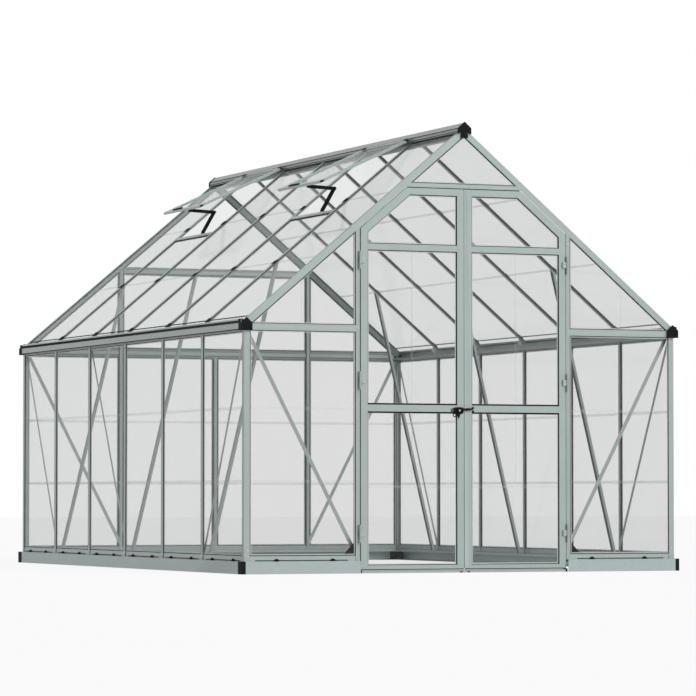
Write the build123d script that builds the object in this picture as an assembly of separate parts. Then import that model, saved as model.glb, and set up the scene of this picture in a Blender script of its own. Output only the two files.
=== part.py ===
from build123d import *
import os
from math import cos, radians, sin, tan

# Driving dimensions, in millimetres and degrees
bay_pitch = 610.0            # one panel bay, along the side walls and across the gables
side_bays = 6
gable_bays = 4
eave_height = 1286.0         # roof panel plane over the wall plane
roof_pitch = 40.0
base_height = 64.0
base_reach = 25.0            # base rail face, out from the wall plane
base_ledge = 30.0            # ledge of the base rail, in from the wall plane
base_gauge = 1.5             # galvanised sheet
base_foot = 30.0             # bottom flange of the base rail
base_lip = 12.0              # downturned edge of the ledge
corner_cap_length = 55.0
corner_cap_proud = 3.0
corner_wrap = 5.0            # how far the gable base rails pass the side wall plane
bracket_leg = 50.0
bracket_gauge = 3.0
pane_gauge = 3.0
seat_gap = 0.3               # pane to lip, and piece to piece where one seats on another
lip_gauge = 2.2              # inner glazing lip
face_gap = 3.6               # wall plane to the back of a bar's outer face
face_gauge = 2.4             # outer face of a bar
bar_face = 30.0              # width of a bar's outer face
bar_depth = 7.0              # posts and rafters, in from the pane plane
frame_depth = 27.0           # rakes and door posts, in from the pane plane
web_gauge = 3.0
rafter_tab = 32.0            # foot of a rafter, down to the gutter's floor
lip_reach = 10.0             # half width of a bar's inner lip
heel_width = 16.0
heel_gauge = 2.2
corner_tube = 14.0           # corner post tube, in from both wall planes
tube_gauge = 2.0
sill_height = 28.0
sill_gauge = 1.5
gutter_drop = 44.0           # underside of the gutter, below the eave height
gutter_beam_height = 14.0
gutter_reach = 26.0
gutter_inner = 30.0
gutter_gauge = 2.0
gutter_wall_height = 36.0    # outer wall, over the gutter beam
gutter_roll = 8.0            # radius of the rolled edge
gutter_lip = 7.0              # glazing lips under the gutter
end_cap_gauge = 14.0
cap_margin = 2.5             # end caps past the profile they close
cap_rib = 3.0
cap_rib_depth = 1.5
gutter_cap_side = 38.0       # straight side of a gutter end cap
gutter_cap_rise = 29.0       # its peak over that side
ridge_side_height = 25.0
ridge_peak_rise = 30.0
ridge_half_width = 34.0
ridge_box_half = 14.0
ridge_box_drop = 9.0         # ridge box, below the rakes' undersides
ridge_gauge = 2.0
gable_rail_height = 34.0
back_rail_drop = 5.0         # back rail, below the underside of the gutter
back_rail_height = 52.0
rail_groove = 3.0
groove_depth = 0.8
groove_width = 1.6           # drawn lines in a bar's outer face
collar_height = 35.0
door_head_half = 328.0       # half of the level stretch over the doors
door_head_height = 22.0
door_post_inner = 590.0      # half of the doorway
door_post_width = 22.0
base_end_gap = 2.0           # front base rails, back from the doorway
threshold_height = 15.0
threshold_front = 14.0
threshold_back = 26.0
threshold_ramp = 6.0
threshold_gauge = 2.0
leaf_side_gap = 5.0          # door leaf to its post
leaf_inner = 3.5
leaf_bottom = 21.0
leaf_head_gap = 5.0          # door leaf to the head above it
leaf_front = 10.0            # front face of a door leaf, out from the wall plane
leaf_back = 12.0
leaf_gauge = 2.0
stile_width = 38.0
bottom_rail_height = 20.0
mid_rail_bottom = 833.0
mid_rail_height = 35.0
transom_drop = 327.0         # underside of the transom, below the top of the leaf
transom_height = 32.0
top_rail_height = 35.0
rake_gap = 5.0               # door leaf to the rake above it
hinge_inset = 2.0            # hinge axis, past the doorway's edge
hinge_out = 18.0             # hinge axis, out from the wall plane
hinge_low_rise = 182.0       # lowest hinge, over the bottom of the leaf
hinge_mid_rise = 124.0       # middle hinge, over the mid rail
hinge_top_drop = 55.0        # top hinge, below the transom
hinge_length = 92.0
knuckle_radius = 6.0
pin_radius = 2.5
pin_clearance = 0.1
knuckle_gap = 0.6
latch_rise = 8.0             # latch pivot over the underside of the mid rail
latch_pivot_x = -34.0
latch_hub_radius = 11.0
latch_plate_gauge = 4.0
latch_plate_width = 52.0
latch_plate_height = 34.0
latch_lift = 1.0             # lever over its plate
latch_gauge = 8.0
latch_tip_gap = 8.0
keeper_end = 48.0
keeper_tip = 6.0
strut_inset = 35.0           # strut's foot, in from the wall plane
strut_lean = 379.0           # how far the strut leans in on its way to the rafter
strut_width = 28.0
strut_depth = 14.0
strut_gauge = 2.0
strap_width = 20.0
strap_gauge = 1.6
gusset_leg = 68.0
gusset_gauge = 6.0
vent_bays = (1, 4)           # counted from the back
vent_sill_x = 472.0
vent_angle = 25.0            # slope of the open vent
vent_hinge_gap = 3.0         # vent's hinge line beside the ridge cap
vent_hinge_drop = 15.0       # and below its shoulder
vent_length = 572.0
vent_side_gap = 4.0
vent_bar = 20.0
vent_low_bar = 27.0
vent_depth = 14.0
vent_gauge = 1.6
vent_sill_width = 24.0
stay_offset = 88.0           # stay, in front of the vent's middle
stay_width = 13.0
stay_gauge = 9.0
stay_elbow_rise = 129.0
stay_elbow_run = 74.0
pane_lap = 6.0               # roof pane, out past the wall plane
pane_play = 1.0              # pane edge to the bottom of its groove
glass_bite = 11.0            # gable pane, up into the rake

# Places worked out from the driving dimensions
half_width = gable_bays * bay_pitch / 2
half_length = side_bays * bay_pitch / 2
slope = tan(radians(roof_pitch))
apex = eave_height + half_width * slope
leaf_outer = door_post_inner - leaf_side_gap
hinge_x = door_post_inner + hinge_inset
base_end = door_post_inner + base_end_gap
gutter_bottom = eave_height - gutter_drop
gutter_floor = gutter_bottom + gutter_beam_height
gutter_wall_top = gutter_floor + gutter_wall_height
pane_half = pane_gauge / 2
lip_outer = pane_half + seat_gap
lip_inner = lip_outer + lip_gauge
face_out = face_gap + face_gauge
wall_top = gutter_bottom - seat_gap
core_bottom = base_height + sill_height + seat_gap
core_top = gutter_bottom - gutter_lip - seat_gap
rafter_under = apex - bar_depth / cos(radians(roof_pitch))
rake_under = apex - frame_depth / cos(radians(roof_pitch))
rake_over = apex + face_out / cos(radians(roof_pitch))
beside_gutter = half_width - gutter_inner - seat_gap
back_rail_bottom = gutter_bottom - back_rail_drop
ridge_skirt = rake_over + seat_gap - ridge_half_width * slope
ridge_shoulder = ridge_skirt + ridge_side_height
ridge_top = ridge_shoulder + ridge_peak_rise
ridge_box_bottom = rake_under - ridge_box_drop
collar_bottom = rake_under - (bay_pitch - bar_face / 2) * slope - collar_height
door_head_bottom = rake_under - door_head_half * slope
leaf_top = door_head_bottom - leaf_head_gap
transom_bottom = leaf_top - transom_drop
latch_level = mid_rail_bottom + latch_rise
hinge_levels = (
    leaf_bottom + hinge_low_rise,
    mid_rail_bottom + mid_rail_height + hinge_mid_rise,
    transom_bottom - hinge_top_drop,
)
strut_foot = half_width - strut_inset
strut_top = strut_foot - strut_lean
vent_pivot_x = ridge_half_width + vent_hinge_gap
vent_pivot_z = ridge_shoulder - vent_hinge_drop

LEFT, RIGHT, FRONT, BACK = Vector(-1, 0, 0), Vector(1, 0, 0), Vector(0, -1, 0), Vector(0, 1, 0)
UP = Vector(0, 0, 1)


def rect(x0, x1, y0, y1):
    """A rectangle between two corners, in the sketch plane."""
    return Pos((x0 + x1) / 2, (y0 + y1) / 2) * Rectangle(abs(x1 - x0), abs(y1 - y0))


def bar(section, start, along, outward, length):
    """A section extruded from start, with its own Y axis pointing outward."""
    plane = Plane(origin=start, x_dir=outward.cross(along), z_dir=along)
    return extrude(plane * section, length)


def box(x0, x1, y0, y1, z0, z1):
    """A block between two corners."""
    return Pos((x0 + x1) / 2, (y0 + y1) / 2, (z0 + z1) / 2) * Box(abs(x1 - x0), abs(y1 - y0), abs(z1 - z0))


def across(points, y0, y1):
    """An outline of X and Z points, extruded along Y."""
    plane = Plane(origin=(0, y0, 0), x_dir=(1, 0, 0), z_dir=(0, -1, 0))
    return extrude(plane * make_face(Polyline(*points, close=True)), y0 - y1)


def mirrored(solids):
    """The same pieces on the other side of the greenhouse."""
    return [s.mirror(Plane.YZ) for s in solids]


def wall_plane(outward):
    """The distance of a wall's pane plane from the middle."""
    return half_width if abs(outward.X) else half_length


def wall_point(outward, run, z):
    """A point on a wall's pane plane, run along the wall from its middle."""
    side = outward.cross(UP)
    return outward * wall_plane(outward) + side * run + UP * z


# Sections, with Y pointing out of the wall and the pane plane at Y = 0
def face_section(width):
    """A bar's outer face, with two drawn lines."""
    face = rect(-width / 2, width / 2, face_gap, face_out)
    for x in (-width / 5, width / 5):
        face -= rect(x - groove_width / 2, x + groove_width / 2, face_out - groove_depth, face_out)
    return face


def core_section():
    web = rect(-web_gauge / 2, web_gauge / 2, -bar_depth, face_gap)
    lip = rect(-lip_reach, lip_reach, -lip_inner, -lip_outer)
    heel = rect(-heel_width / 2, heel_width / 2, -bar_depth, -bar_depth + heel_gauge)
    return web + lip + heel


def heel_section():
    web = rect(-web_gauge / 2, web_gauge / 2, -bar_depth, -lip_inner - seat_gap)
    heel = rect(-heel_width / 2, heel_width / 2, -bar_depth, -bar_depth + heel_gauge)
    return web + heel


def rafter_section():
    return face_section(bar_face) + core_section()


def corner_face_section(depth):
    """Two outer faces that meet at a corner, each with two drawn lines."""
    near = face_out
    faces = rect(-depth, near, face_gap, near) + rect(face_gap, near, -depth, near)
    for at in (-depth / 5, -depth * 4 / 5):
        faces -= rect(at - groove_width / 2, at + groove_width / 2, near - groove_depth, near)
        faces -= rect(near - groove_depth, near, at - groove_width / 2, at + groove_width / 2)
    return faces


def corner_tube_section():
    tube = rect(-corner_tube, face_gap, -corner_tube, face_gap)
    return tube - rect(
        -corner_tube + tube_gauge, face_gap - tube_gauge, -corner_tube + tube_gauge, face_gap - tube_gauge
    )


def corner_lip_section():
    reach = bar_face - face_out
    level = rect(-reach, -corner_tube, -lip_inner, -lip_outer)
    return level + rect(-lip_inner, -lip_outer, -reach, -corner_tube)


def base_section():
    web = rect(0, base_height, base_reach - base_gauge, base_reach)
    ledge = rect(base_height - base_gauge, base_height, -base_ledge, base_reach)
    foot = rect(0, base_gauge, base_reach - base_foot, base_reach)
    lip = rect(base_height - base_lip, base_height, -base_ledge, -base_ledge + base_gauge)
    return web + ledge + foot + lip


def sill_section():
    outer = rect(0, sill_height, lip_outer, lip_outer + sill_gauge)
    inner = rect(0, sill_height, -lip_outer - lip_gauge, -lip_outer)
    floor = rect(0, sill_gauge, -lip_outer - lip_gauge, lip_outer + sill_gauge)
    return outer + inner + floor


def rail_section(height, groove=0.0):
    middle = height / 2
    face = rect(0, height, face_gap, face_out)
    if groove:
        face -= rect(middle - groove / 2, middle + groove / 2, face_out - face_gauge / 2, face_out)
    else:
        for z in (height / 6, height - height / 6):
            face -= rect(z - groove_width / 2, z + groove_width / 2, face_out - groove_depth, face_out)
    web = rect(middle - web_gauge / 2, middle + web_gauge / 2, -bar_depth / 2, face_gap)
    lip = rect(middle - lip_reach, middle + lip_reach, -lip_inner, -lip_outer)
    return face + web + lip


def level_bar(section, outward, run0, run1, z):
    """A bar along a wall, from run0 to run1, with its section's X axis pointing up from z."""
    along = outward.cross(UP)
    plane = Plane(origin=wall_point(outward, run0, z), x_dir=UP, z_dir=along)
    turned = plane.y_dir.dot(outward)
    if turned < 0:
        plane = Plane(origin=wall_point(outward, run1, z), x_dir=UP, z_dir=along * -1)
    return extrude(plane * section, run1 - run0)


# Base rails, corner caps and threshold
side_run = half_length - base_ledge
gable_run = half_width + corner_wrap


def base_rails_side():
    return [level_bar(base_section(), side, -side_run, side_run, 0) for side in (LEFT, RIGHT)]


def base_rail_back():
    return [level_bar(base_section(), BACK, -gable_run, gable_run, 0)]


def base_rails_front():
    rail = level_bar(base_section(), FRONT, base_end, gable_run, 0)
    return [rail] + mirrored([rail])


def base_corner_caps():
    caps = []
    for sx in (-1, 1):
        for sy in (-1, 1):
            x0 = gable_run + seat_gap
            x1 = half_width + base_reach + corner_cap_proud
            y0 = side_run + seat_gap
            y1 = y0 + corner_cap_length
            block = box(sx * x0, sx * x1, sy * y0, sy * y1, 0, base_height)
            edges = block.edges().filter_by(Axis.Z).group_by(Axis.X)[0 if sx < 0 else -1]
            caps.append(fillet(edges, corner_cap_proud))
    return caps


def base_corner_brackets():
    brackets = []
    inner_x = half_width + base_reach - base_gauge - seat_gap
    inner_y = half_length + base_reach - base_gauge - seat_gap
    inner_x = min(inner_x, gable_run - seat_gap)
    low = base_gauge + seat_gap
    high = base_height - base_gauge - seat_gap
    for sx in (-1, 1):
        for sy in (-1, 1):
            leg_x = inner_x - bracket_leg
            leg_y = inner_y - bracket_leg
            along_x = box(sx * leg_x, sx * inner_x, sy * (inner_y - bracket_gauge), sy * inner_y, low, high)
            along_y = box(sx * (inner_x - bracket_gauge), sx * inner_x, sy * leg_y, sy * inner_y, low, high)
            brackets.append(along_x + along_y)
    return brackets


def door_threshold():
    points = (
        (threshold_front, 0),
        (threshold_front, threshold_height - threshold_ramp),
        (threshold_front - threshold_ramp, threshold_height),
        (-threshold_back + threshold_ramp, threshold_height),
        (-threshold_back, threshold_height - threshold_ramp),
        (-threshold_back, 0),
    )
    outline = make_face(Polyline(*[(z, d) for d, z in points], close=True))
    hollow = rect(
        threshold_gauge,
        threshold_height - threshold_gauge,
        -threshold_back + threshold_ramp,
        threshold_front - threshold_ramp,
    )
    run = base_end - seat_gap
    return [level_bar(outline - hollow, FRONT, -run, run, 0)]


# Wall frame
def wall_sills():
    section = sill_section()
    start = base_height + seat_gap
    end_gap = corner_tube + seat_gap
    side = half_length - end_gap
    gable = half_width - end_gap
    sills = [level_bar(section, out, -side, side, start) for out in (LEFT, RIGHT)]
    sills.append(level_bar(section, BACK, -gable, gable, start))
    front = level_bar(section, FRONT, door_post_inner + door_post_width + seat_gap, gable, start)
    return sills + [front] + mirrored([front])


def corner_posts():
    low = base_height + seat_gap
    place = Plane(origin=(half_width, half_length, low), x_dir=(1, 0, 0), z_dir=(0, 0, 1))
    tall = wall_top - low
    post = extrude(place * (corner_face_section(bar_face - face_out) + corner_tube_section()), tall)
    lips = extrude(place.offset(core_bottom - low) * corner_lip_section(), core_top - core_bottom)
    post = post + lips
    pair = [post] + mirrored([post])
    return pair + [p.mirror(Plane.XZ) for p in pair]


def wall_post(outward, run, top=None, face=bar_face):
    """A wall bar: its outer face and heel run past the sill, its core sits between the glazing lips."""
    low = base_height + seat_gap
    high = wall_top if top is None else top
    core_high = core_top if top is None else top
    post = bar(face_section(face), wall_point(outward, run, low), UP, outward, high - low)
    post += bar(core_section(), wall_point(outward, run, core_bottom), UP, outward, core_high - core_bottom)
    post += bar(heel_section(), wall_point(outward, run, low), UP, outward, high - low)
    return post


def side_posts(outward):
    runs = [half_length - bay_pitch * i for i in range(1, side_bays)]
    return [wall_post(outward, run) for run in runs]


def under_roof(y0, y1, gap, foot=0.0):
    """The space under the rakes and over a level, between two Y planes."""
    edge = rake_under - gap
    reach = half_width + base_reach
    eave = edge - reach * slope
    return across(((-reach, foot), (reach, foot), (reach, eave), (0, edge), (-reach, eave)), y0, y1)


def back_posts():
    clip = under_roof(half_length + base_reach, half_length - base_ledge, seat_gap)
    posts = []
    for run in (-bay_pitch, bay_pitch):
        tall = wall_post(BACK, run, top=apex) & clip
        posts.append(tall)
    posts.append(wall_post(BACK, 0, top=back_rail_bottom - seat_gap))
    return posts


def door_posts():
    clip = under_roof(-half_length - base_reach, -half_length + base_ledge, seat_gap)
    middle = door_post_inner + door_post_width / 2
    low = base_height + seat_gap
    face = bar(face_section(door_post_width), wall_point(FRONT, middle, low), UP, FRONT, apex - low)
    half = door_post_width / 2
    bore = half - tube_gauge
    tube = rect(-half, half, -frame_depth, face_gap)
    tube -= rect(-bore, bore, -frame_depth + tube_gauge, face_gap - tube_gauge)
    post = (face + bar(tube, wall_point(FRONT, middle, low), UP, FRONT, apex - low)) & clip
    return [post] + mirrored([post])


def door_head():
    section = rail_section(door_head_height)
    rail = level_bar(section, FRONT, -half_width, half_width, door_head_bottom)
    return [rail & under_roof(-half_length - base_reach, -half_length + base_ledge, seat_gap)]


def front_gable_rails():
    section = rail_section(gable_rail_height)
    start = door_post_inner + door_post_width + seat_gap
    rail = level_bar(section, FRONT, start, beside_gutter, gutter_bottom)
    rail = rail & under_roof(-half_length - base_reach, -half_length + base_ledge, seat_gap)
    return [rail] + mirrored([rail])


def back_rails():
    clip = under_roof(half_length + base_reach, half_length - base_ledge, seat_gap)
    section = rail_section(back_rail_height, rail_groove)
    inner = bay_pitch - bar_face / 2 - seat_gap
    outer = bay_pitch + bar_face / 2 + seat_gap
    side = level_bar(section, BACK, outer, beside_gutter, back_rail_bottom) & clip
    middle = level_bar(section, BACK, -inner, inner, back_rail_bottom)
    collar = level_bar(rail_section(collar_height), BACK, -inner, inner, collar_bottom) & clip
    return [side, middle, collar] + mirrored([side])


# Eaves, ridge and roof bars
def gutter_section():
    g = gutter_gauge
    beam = rect(gutter_bottom, gutter_floor, -gutter_inner, gutter_reach)
    beam -= rect(gutter_bottom + g, gutter_floor - g, -gutter_inner + g, gutter_reach - g)
    wall = rect(gutter_floor, gutter_wall_top, gutter_reach - gutter_gauge, gutter_reach)
    roll_middle = gutter_reach - gutter_roll
    roll = Pos(gutter_wall_top, roll_middle) * (Circle(gutter_roll) - Circle(gutter_roll - gutter_gauge))
    return beam + wall + roll


def gutters():
    run = half_length + face_out
    lip_run = half_length - bar_face + face_out - seat_gap
    lips = rect(gutter_bottom - gutter_lip, gutter_bottom, lip_outer, lip_outer + sill_gauge)
    lips += rect(gutter_bottom - gutter_lip, gutter_bottom, -lip_inner, -lip_outer)
    gutter = level_bar(gutter_section(), RIGHT, -run, run, 0)
    gutter += level_bar(lips, RIGHT, -lip_run, lip_run, 0)
    return [gutter] + mirrored([gutter])


def gutter_end_caps():
    x0 = half_width - gutter_inner - cap_margin
    x1 = half_width + gutter_reach + cap_margin
    low = gutter_bottom - cap_margin
    side = low + gutter_cap_side
    middle = (x0 + x1) / 2
    outline = ((x0, low), (x1, low), (x1, side), (middle, side + gutter_cap_rise), (x0, side))
    y0 = half_length + face_out + seat_gap
    y1 = y0 + end_cap_gauge
    cap = across(outline, -y0, -y1)
    rib_pitch = (x1 - x0) / 5
    for i in range(1, 5):
        x = x0 + rib_pitch * i
        cap -= box(x - cap_rib / 2, x + cap_rib / 2, -y1, -y1 + cap_rib_depth, low, side)
    pair = [cap] + mirrored([cap])
    return pair + [c.mirror(Plane.XZ) for c in pair]


def ridge_outline():
    drop = rake_over + seat_gap
    right = (
        (0, ridge_top),
        (ridge_half_width, ridge_shoulder),
        (ridge_half_width, drop - ridge_half_width * slope),
        (ridge_box_half, drop - ridge_box_half * slope),
        (ridge_box_half, ridge_box_bottom),
    )
    left = tuple((-x, z) for x, z in reversed(right[1:]))
    return right + left


def ridge_beam():
    run = half_length + face_out
    plane = Plane(origin=(0, run, 0), x_dir=(1, 0, 0), z_dir=(0, -1, 0))
    outline = make_face(Polyline(*ridge_outline(), close=True))
    hollow = offset(outline, amount=-ridge_gauge, kind=Kind.INTERSECTION)
    return [extrude(plane * (outline - hollow), 2 * run)]


def ridge_end_caps():
    outline = make_face(Polyline(*ridge_outline(), close=True))
    grown = offset(outline, amount=cap_margin, kind=Kind.INTERSECTION)
    y0 = half_length + face_out + seat_gap
    plane = Plane(origin=(0, -y0, 0), x_dir=(1, 0, 0), z_dir=(0, -1, 0))
    cap = extrude(plane * grown, end_cap_gauge)
    return [cap, cap.mirror(Plane.XZ)]


UPSLOPE = Vector(cos(radians(roof_pitch)), 0, sin(radians(roof_pitch)))
ROOF_OUT = Vector(-sin(radians(roof_pitch)), 0, cos(radians(roof_pitch)))
slope_length = half_width / cos(radians(roof_pitch))
rafter_foot = half_width - ridge_gauge - seat_gap


def roof_point(x, y):
    """A point on the left slope's panel plane, x from the ridge line."""
    return Vector(-x, y, apex - x * slope)


def roof_keep():
    """The space that the left slope's bars may fill, from the gutter floor to the ridge box."""
    low = gutter_floor + seat_gap
    near = ridge_box_half + seat_gap
    points = ((-rafter_foot, low), (-near, low), (-near, apex + bar_face), (-rafter_foot, apex + bar_face))
    return across(points, half_length + base_reach, -half_length - base_reach)


def rafters_left():
    """The left slope's bars, each with a tab that stands on the gutter's floor."""
    keep = roof_keep()
    start = half_width + bar_face
    length = slope_length + 2 * bar_face
    tab_section = rect(-web_gauge / 2, web_gauge / 2, -rafter_tab, 0)
    bars = []
    for i in range(1, side_bays):
        y = half_length - bay_pitch * i
        whole = bar(rafter_section(), roof_point(start, y), UPSLOPE, ROOF_OUT, length)
        tab = bar(tab_section, roof_point(rafter_foot, y), UPSLOPE, ROOF_OUT, rafter_tab)
        bars.append((whole + tab) & keep)
    return bars


def rake(y_sign):
    """The left slope's end bar: a corner section whose faces cover the roof and the gable."""
    start = half_width + bar_face
    length = slope_length + 2 * bar_face
    section = corner_face_section(frame_depth) + corner_tube_section() + corner_lip_section()
    along = FRONT.cross(ROOF_OUT)
    low = roof_point(start, -half_length)
    high = low + UPSLOPE * length
    origin = low if along.dot(UPSLOPE) > 0 else high
    whole = extrude(Plane(origin=origin, x_dir=FRONT, z_dir=along) * section, length)
    whole = whole & roof_keep()
    return whole if y_sign < 0 else whole.mirror(Plane.XZ)


# Panes
pane_clear = web_gauge / 2 + pane_play
corner_clear = corner_tube + pane_play


def wall_pane(outward, run0, run1, z0, z1):
    section = rect(z0, z1, -pane_half, pane_half)
    return level_bar(section, outward, run0, run1, 0)


def bay_runs(bays):
    """The pane limits of each bay of a wall, clear of the bars' webs and the corner tubes."""
    half = bays * bay_pitch / 2
    runs = []
    for i in range(bays):
        run0 = -half + bay_pitch * i + (corner_clear if i == 0 else pane_clear)
        run1 = -half + bay_pitch * (i + 1) - (corner_clear if i == bays - 1 else pane_clear)
        runs.append((run0, run1))
    return runs


pane_low = base_height + seat_gap + sill_gauge + pane_play
pane_high = gutter_bottom - pane_play
glass_top = -glass_bite / cos(radians(roof_pitch))
pane_eave_x = half_width + pane_lap
pane_ridge_x = ridge_box_half + 2 * pane_play


def side_panes(outward):
    return [wall_pane(outward, a, b, pane_low, pane_high) for a, b in bay_runs(side_bays)]


def gutter_notches():
    """The space that the gutters take out of the gable panes' corners."""
    reach = half_length + base_reach
    low, high = gutter_bottom - seat_gap, gutter_floor + seat_gap
    notch = box(beside_gutter, half_width + base_reach, -reach, reach, low, high)
    return notch + notch.mirror(Plane.YZ)


def ridge_notch():
    """The space that the ridge box takes out of the top gable panes."""
    reach = half_length + base_reach
    return box(-pane_ridge_x, pane_ridge_x, -reach, reach, ridge_box_bottom - pane_play, apex + bar_face)


def back_panes():
    web = back_rail_bottom + back_rail_height / 2
    high = web - web_gauge / 2 - pane_play
    panes = [wall_pane(BACK, a, b, pane_low, high) - gutter_notches() for a, b in bay_runs(gable_bays)]
    clip = under_roof(half_length + base_reach, half_length - base_ledge, glass_top)
    low = web + web_gauge / 2 + pane_play
    inner = bay_pitch - pane_clear
    outer = bay_pitch + pane_clear
    side = wall_pane(BACK, outer, half_width, low, apex) & clip
    collar_web = collar_bottom + collar_height / 2
    middle = wall_pane(BACK, -inner, inner, low, collar_web - web_gauge / 2 - pane_play)
    top = wall_pane(BACK, -inner, inner, collar_web + web_gauge / 2 + pane_play, apex) & clip
    top = top - ridge_notch()
    return panes + [side, middle & clip, top] + mirrored([side])


def front_panes():
    web = gutter_bottom + gable_rail_height / 2
    start = door_post_inner + door_post_width + pane_play
    low_pane = wall_pane(FRONT, start, half_width - corner_clear, pane_low, web - web_gauge / 2 - pane_play)
    low_pane = low_pane - gutter_notches()
    clip = under_roof(-half_length - base_reach, -half_length + base_ledge, glass_top)
    side = wall_pane(FRONT, start, half_width, web + web_gauge / 2 + pane_play, apex) & clip
    head_web = door_head_bottom + door_head_height / 2
    top = wall_pane(FRONT, -half_width, half_width, head_web + web_gauge / 2 + pane_play, apex) & clip
    top = top - ridge_notch()
    return [low_pane, side, top] + mirrored([low_pane, side])


def roof_pane(x0, x1, y0, y1):
    """A pane on the left slope, between two distances from the ridge line."""
    start = roof_point(x0, 0)
    run = (x0 - x1) / cos(radians(roof_pitch))
    section = rect(-y1, -y0, -pane_half, pane_half)
    plane = Plane(origin=start, x_dir=ROOF_OUT.cross(UPSLOPE), z_dir=UPSLOPE)
    if plane.x_dir.Y > 0:
        section = rect(y0, y1, -pane_half, pane_half)
    return extrude(plane * section, run)


def roof_panes_left(vents):
    panes = []
    for i, (y0, y1) in enumerate(reversed(bay_runs(side_bays))):
        top = vent_sill_x if i in vents else pane_ridge_x
        panes.append(roof_pane(pane_eave_x, top, y0, y1))
    return panes


# Roof vents
def vent_middle(i):
    return half_length - bay_pitch * (i + 0.5)


VENT_DOWN = Vector(-cos(radians(vent_angle)), 0, -sin(radians(vent_angle)))
VENT_OUT = Vector(-sin(radians(vent_angle)), 0, cos(radians(vent_angle)))
vent_half = bay_pitch / 2 - vent_side_gap


def vent_block(y, v0, v1, w0, w1, depth0, depth1):
    """A block in a vent's own plane: v down the vent, w across it."""
    plane = Plane(origin=(-vent_pivot_x, y, vent_pivot_z), x_dir=VENT_DOWN, z_dir=VENT_OUT)
    return plane.location * box(v0, v1, w0, w1, depth0, depth1)


def vent_sills():
    half = bay_pitch / 2 - bar_face / 2 - seat_gap
    sills = []
    for i in vent_bays:
        y = vent_middle(i)
        top = roof_point(vent_sill_x, y)
        plane = Plane(origin=top, x_dir=UPSLOPE * -1, z_dir=ROOF_OUT)
        up, down = -vent_sill_width / 4, vent_sill_width / 2
        face = box(up, vent_sill_width + up, -half, half, face_gap, face_out)
        web = box(up, up + web_gauge, -half, half, -bar_depth / 2, face_gap)
        lip = box(up, down, -half, half, -lip_inner, -lip_outer)
        sills.append(plane.location * (face + web + lip))
    return sills


def vent_frames():
    """Each vent's four hollow bars: the side bars stand between the top and bottom ones."""
    bars = []
    g = vent_gauge
    for i in vent_bays:
        y = vent_middle(i)
        low = vent_length - vent_low_bar
        for w in (-1, 1):
            a, b = sorted((w * (vent_half - vent_bar), w * vent_half))
            v0, v1 = vent_bar + seat_gap, low - seat_gap
            whole = vent_block(y, v0, v1, a, b, 0, vent_depth)
            bars.append(whole - vent_block(y, v0, v1, a + g, b - g, g, vent_depth - g))
        for v0, v1 in ((0, vent_bar), (low, vent_length)):
            whole = vent_block(y, v0, v1, -vent_half, vent_half, 0, vent_depth)
            bars.append(whole - vent_block(y, v0 + g, v1 - g, -vent_half, vent_half, g, vent_depth - g))
    return bars


def vent_panes():
    reach = vent_half - vent_bar - seat_gap
    middle = vent_depth / 2
    return [
        vent_block(
            vent_middle(i), vent_bar + seat_gap, vent_length - vent_low_bar - seat_gap, -reach, reach,
            middle - pane_half, middle + pane_half,
        )
        for i in vent_bays
    ]


def vent_stays():
    stays = []
    for i in vent_bays:
        y = vent_middle(i) - stay_offset
        foot = roof_point(vent_sill_x, y) + UPSLOPE * (vent_sill_width / 4 + seat_gap + stay_width / 2)
        elbow = foot + Vector(stay_elbow_run, 0, stay_elbow_rise)
        tip = Vector(-vent_pivot_x, y, vent_pivot_z) + VENT_DOWN * (vent_length - stay_width)
        tip = tip - VENT_OUT * (stay_width / 2 + seat_gap)
        points = ((foot.X, foot.Z), (elbow.X, elbow.Z), (tip.X, tip.Z))
        path = Polyline(*points)
        flat = offset(path, amount=stay_width / 2, kind=Kind.ARC, side=Side.BOTH)
        plane = Plane(origin=(0, y + stay_gauge / 2, 0), x_dir=(1, 0, 0), z_dir=(0, -1, 0))
        stays.append(extrude(plane * make_face(flat), stay_gauge))
    return stays


# Bracing
def strut_left(y):
    low = Vector(-strut_foot, y, base_height + seat_gap)
    high = Vector(-strut_top, y, apex - strut_top * slope)
    along = (high - low).normalized()
    outward = Vector(0, -1, 0).cross(along)
    if outward.X > 0:
        outward = outward * -1
    half_w, half_d, g = strut_width / 2, strut_depth / 2, strut_gauge
    section = rect(-half_w, half_w, -half_d, half_d) - rect(-half_w + g, half_w - g, -half_d, half_d - g)
    length = (high - low).length
    whole = bar(section, low - along * strut_width, along, outward, length + 2 * strut_width)
    edge = rafter_under - seat_gap
    foot = base_height + seat_gap
    eave = edge - half_width * slope
    keep = across(((-half_width, foot), (0, foot), (0, edge), (-half_width, eave)), half_length, -half_length)
    return whole & keep


def roof_struts():
    left = [strut_left(half_length - bay_pitch * i) for i in range(1, side_bays, 2)]
    return left + mirrored(left)


def strap(outward, run0, z0, run1, z1, depth):
    """A flat diagonal strap inside a wall, between two points of its pane plane."""
    a, b = wall_point(outward, run0, z0), wall_point(outward, run1, z1)
    section = rect(-strap_width / 2, strap_width / 2, -depth - strap_gauge, -depth)
    return bar(section, a, (b - a).normalized(), outward, (b - a).length)


def wall_straps():
    depth = bar_depth + seat_gap
    high = core_top
    low = core_bottom + strap_width / 2
    inset = corner_tube + strap_width / 2 + seat_gap
    pitch = bay_pitch
    left = [
        strap(LEFT, half_length - inset, high, half_length - pitch, low, depth),
        strap(LEFT, half_length - 2 * pitch, high, half_length - 3 * pitch, low, depth),
        strap(LEFT, -half_length + inset, high, -half_length + pitch, low, depth),
    ]
    right = [s.mirror(Plane.YZ) for s in (left[0], left[2])]
    back = strap(BACK, half_width - inset, high, half_width - pitch, low, depth)
    door_post = door_post_inner + door_post_width / 2
    front = strap(FRONT, half_width - inset, high, door_post, low, frame_depth + seat_gap)
    return left + right + [back, front] + mirrored([back, front])


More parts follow.
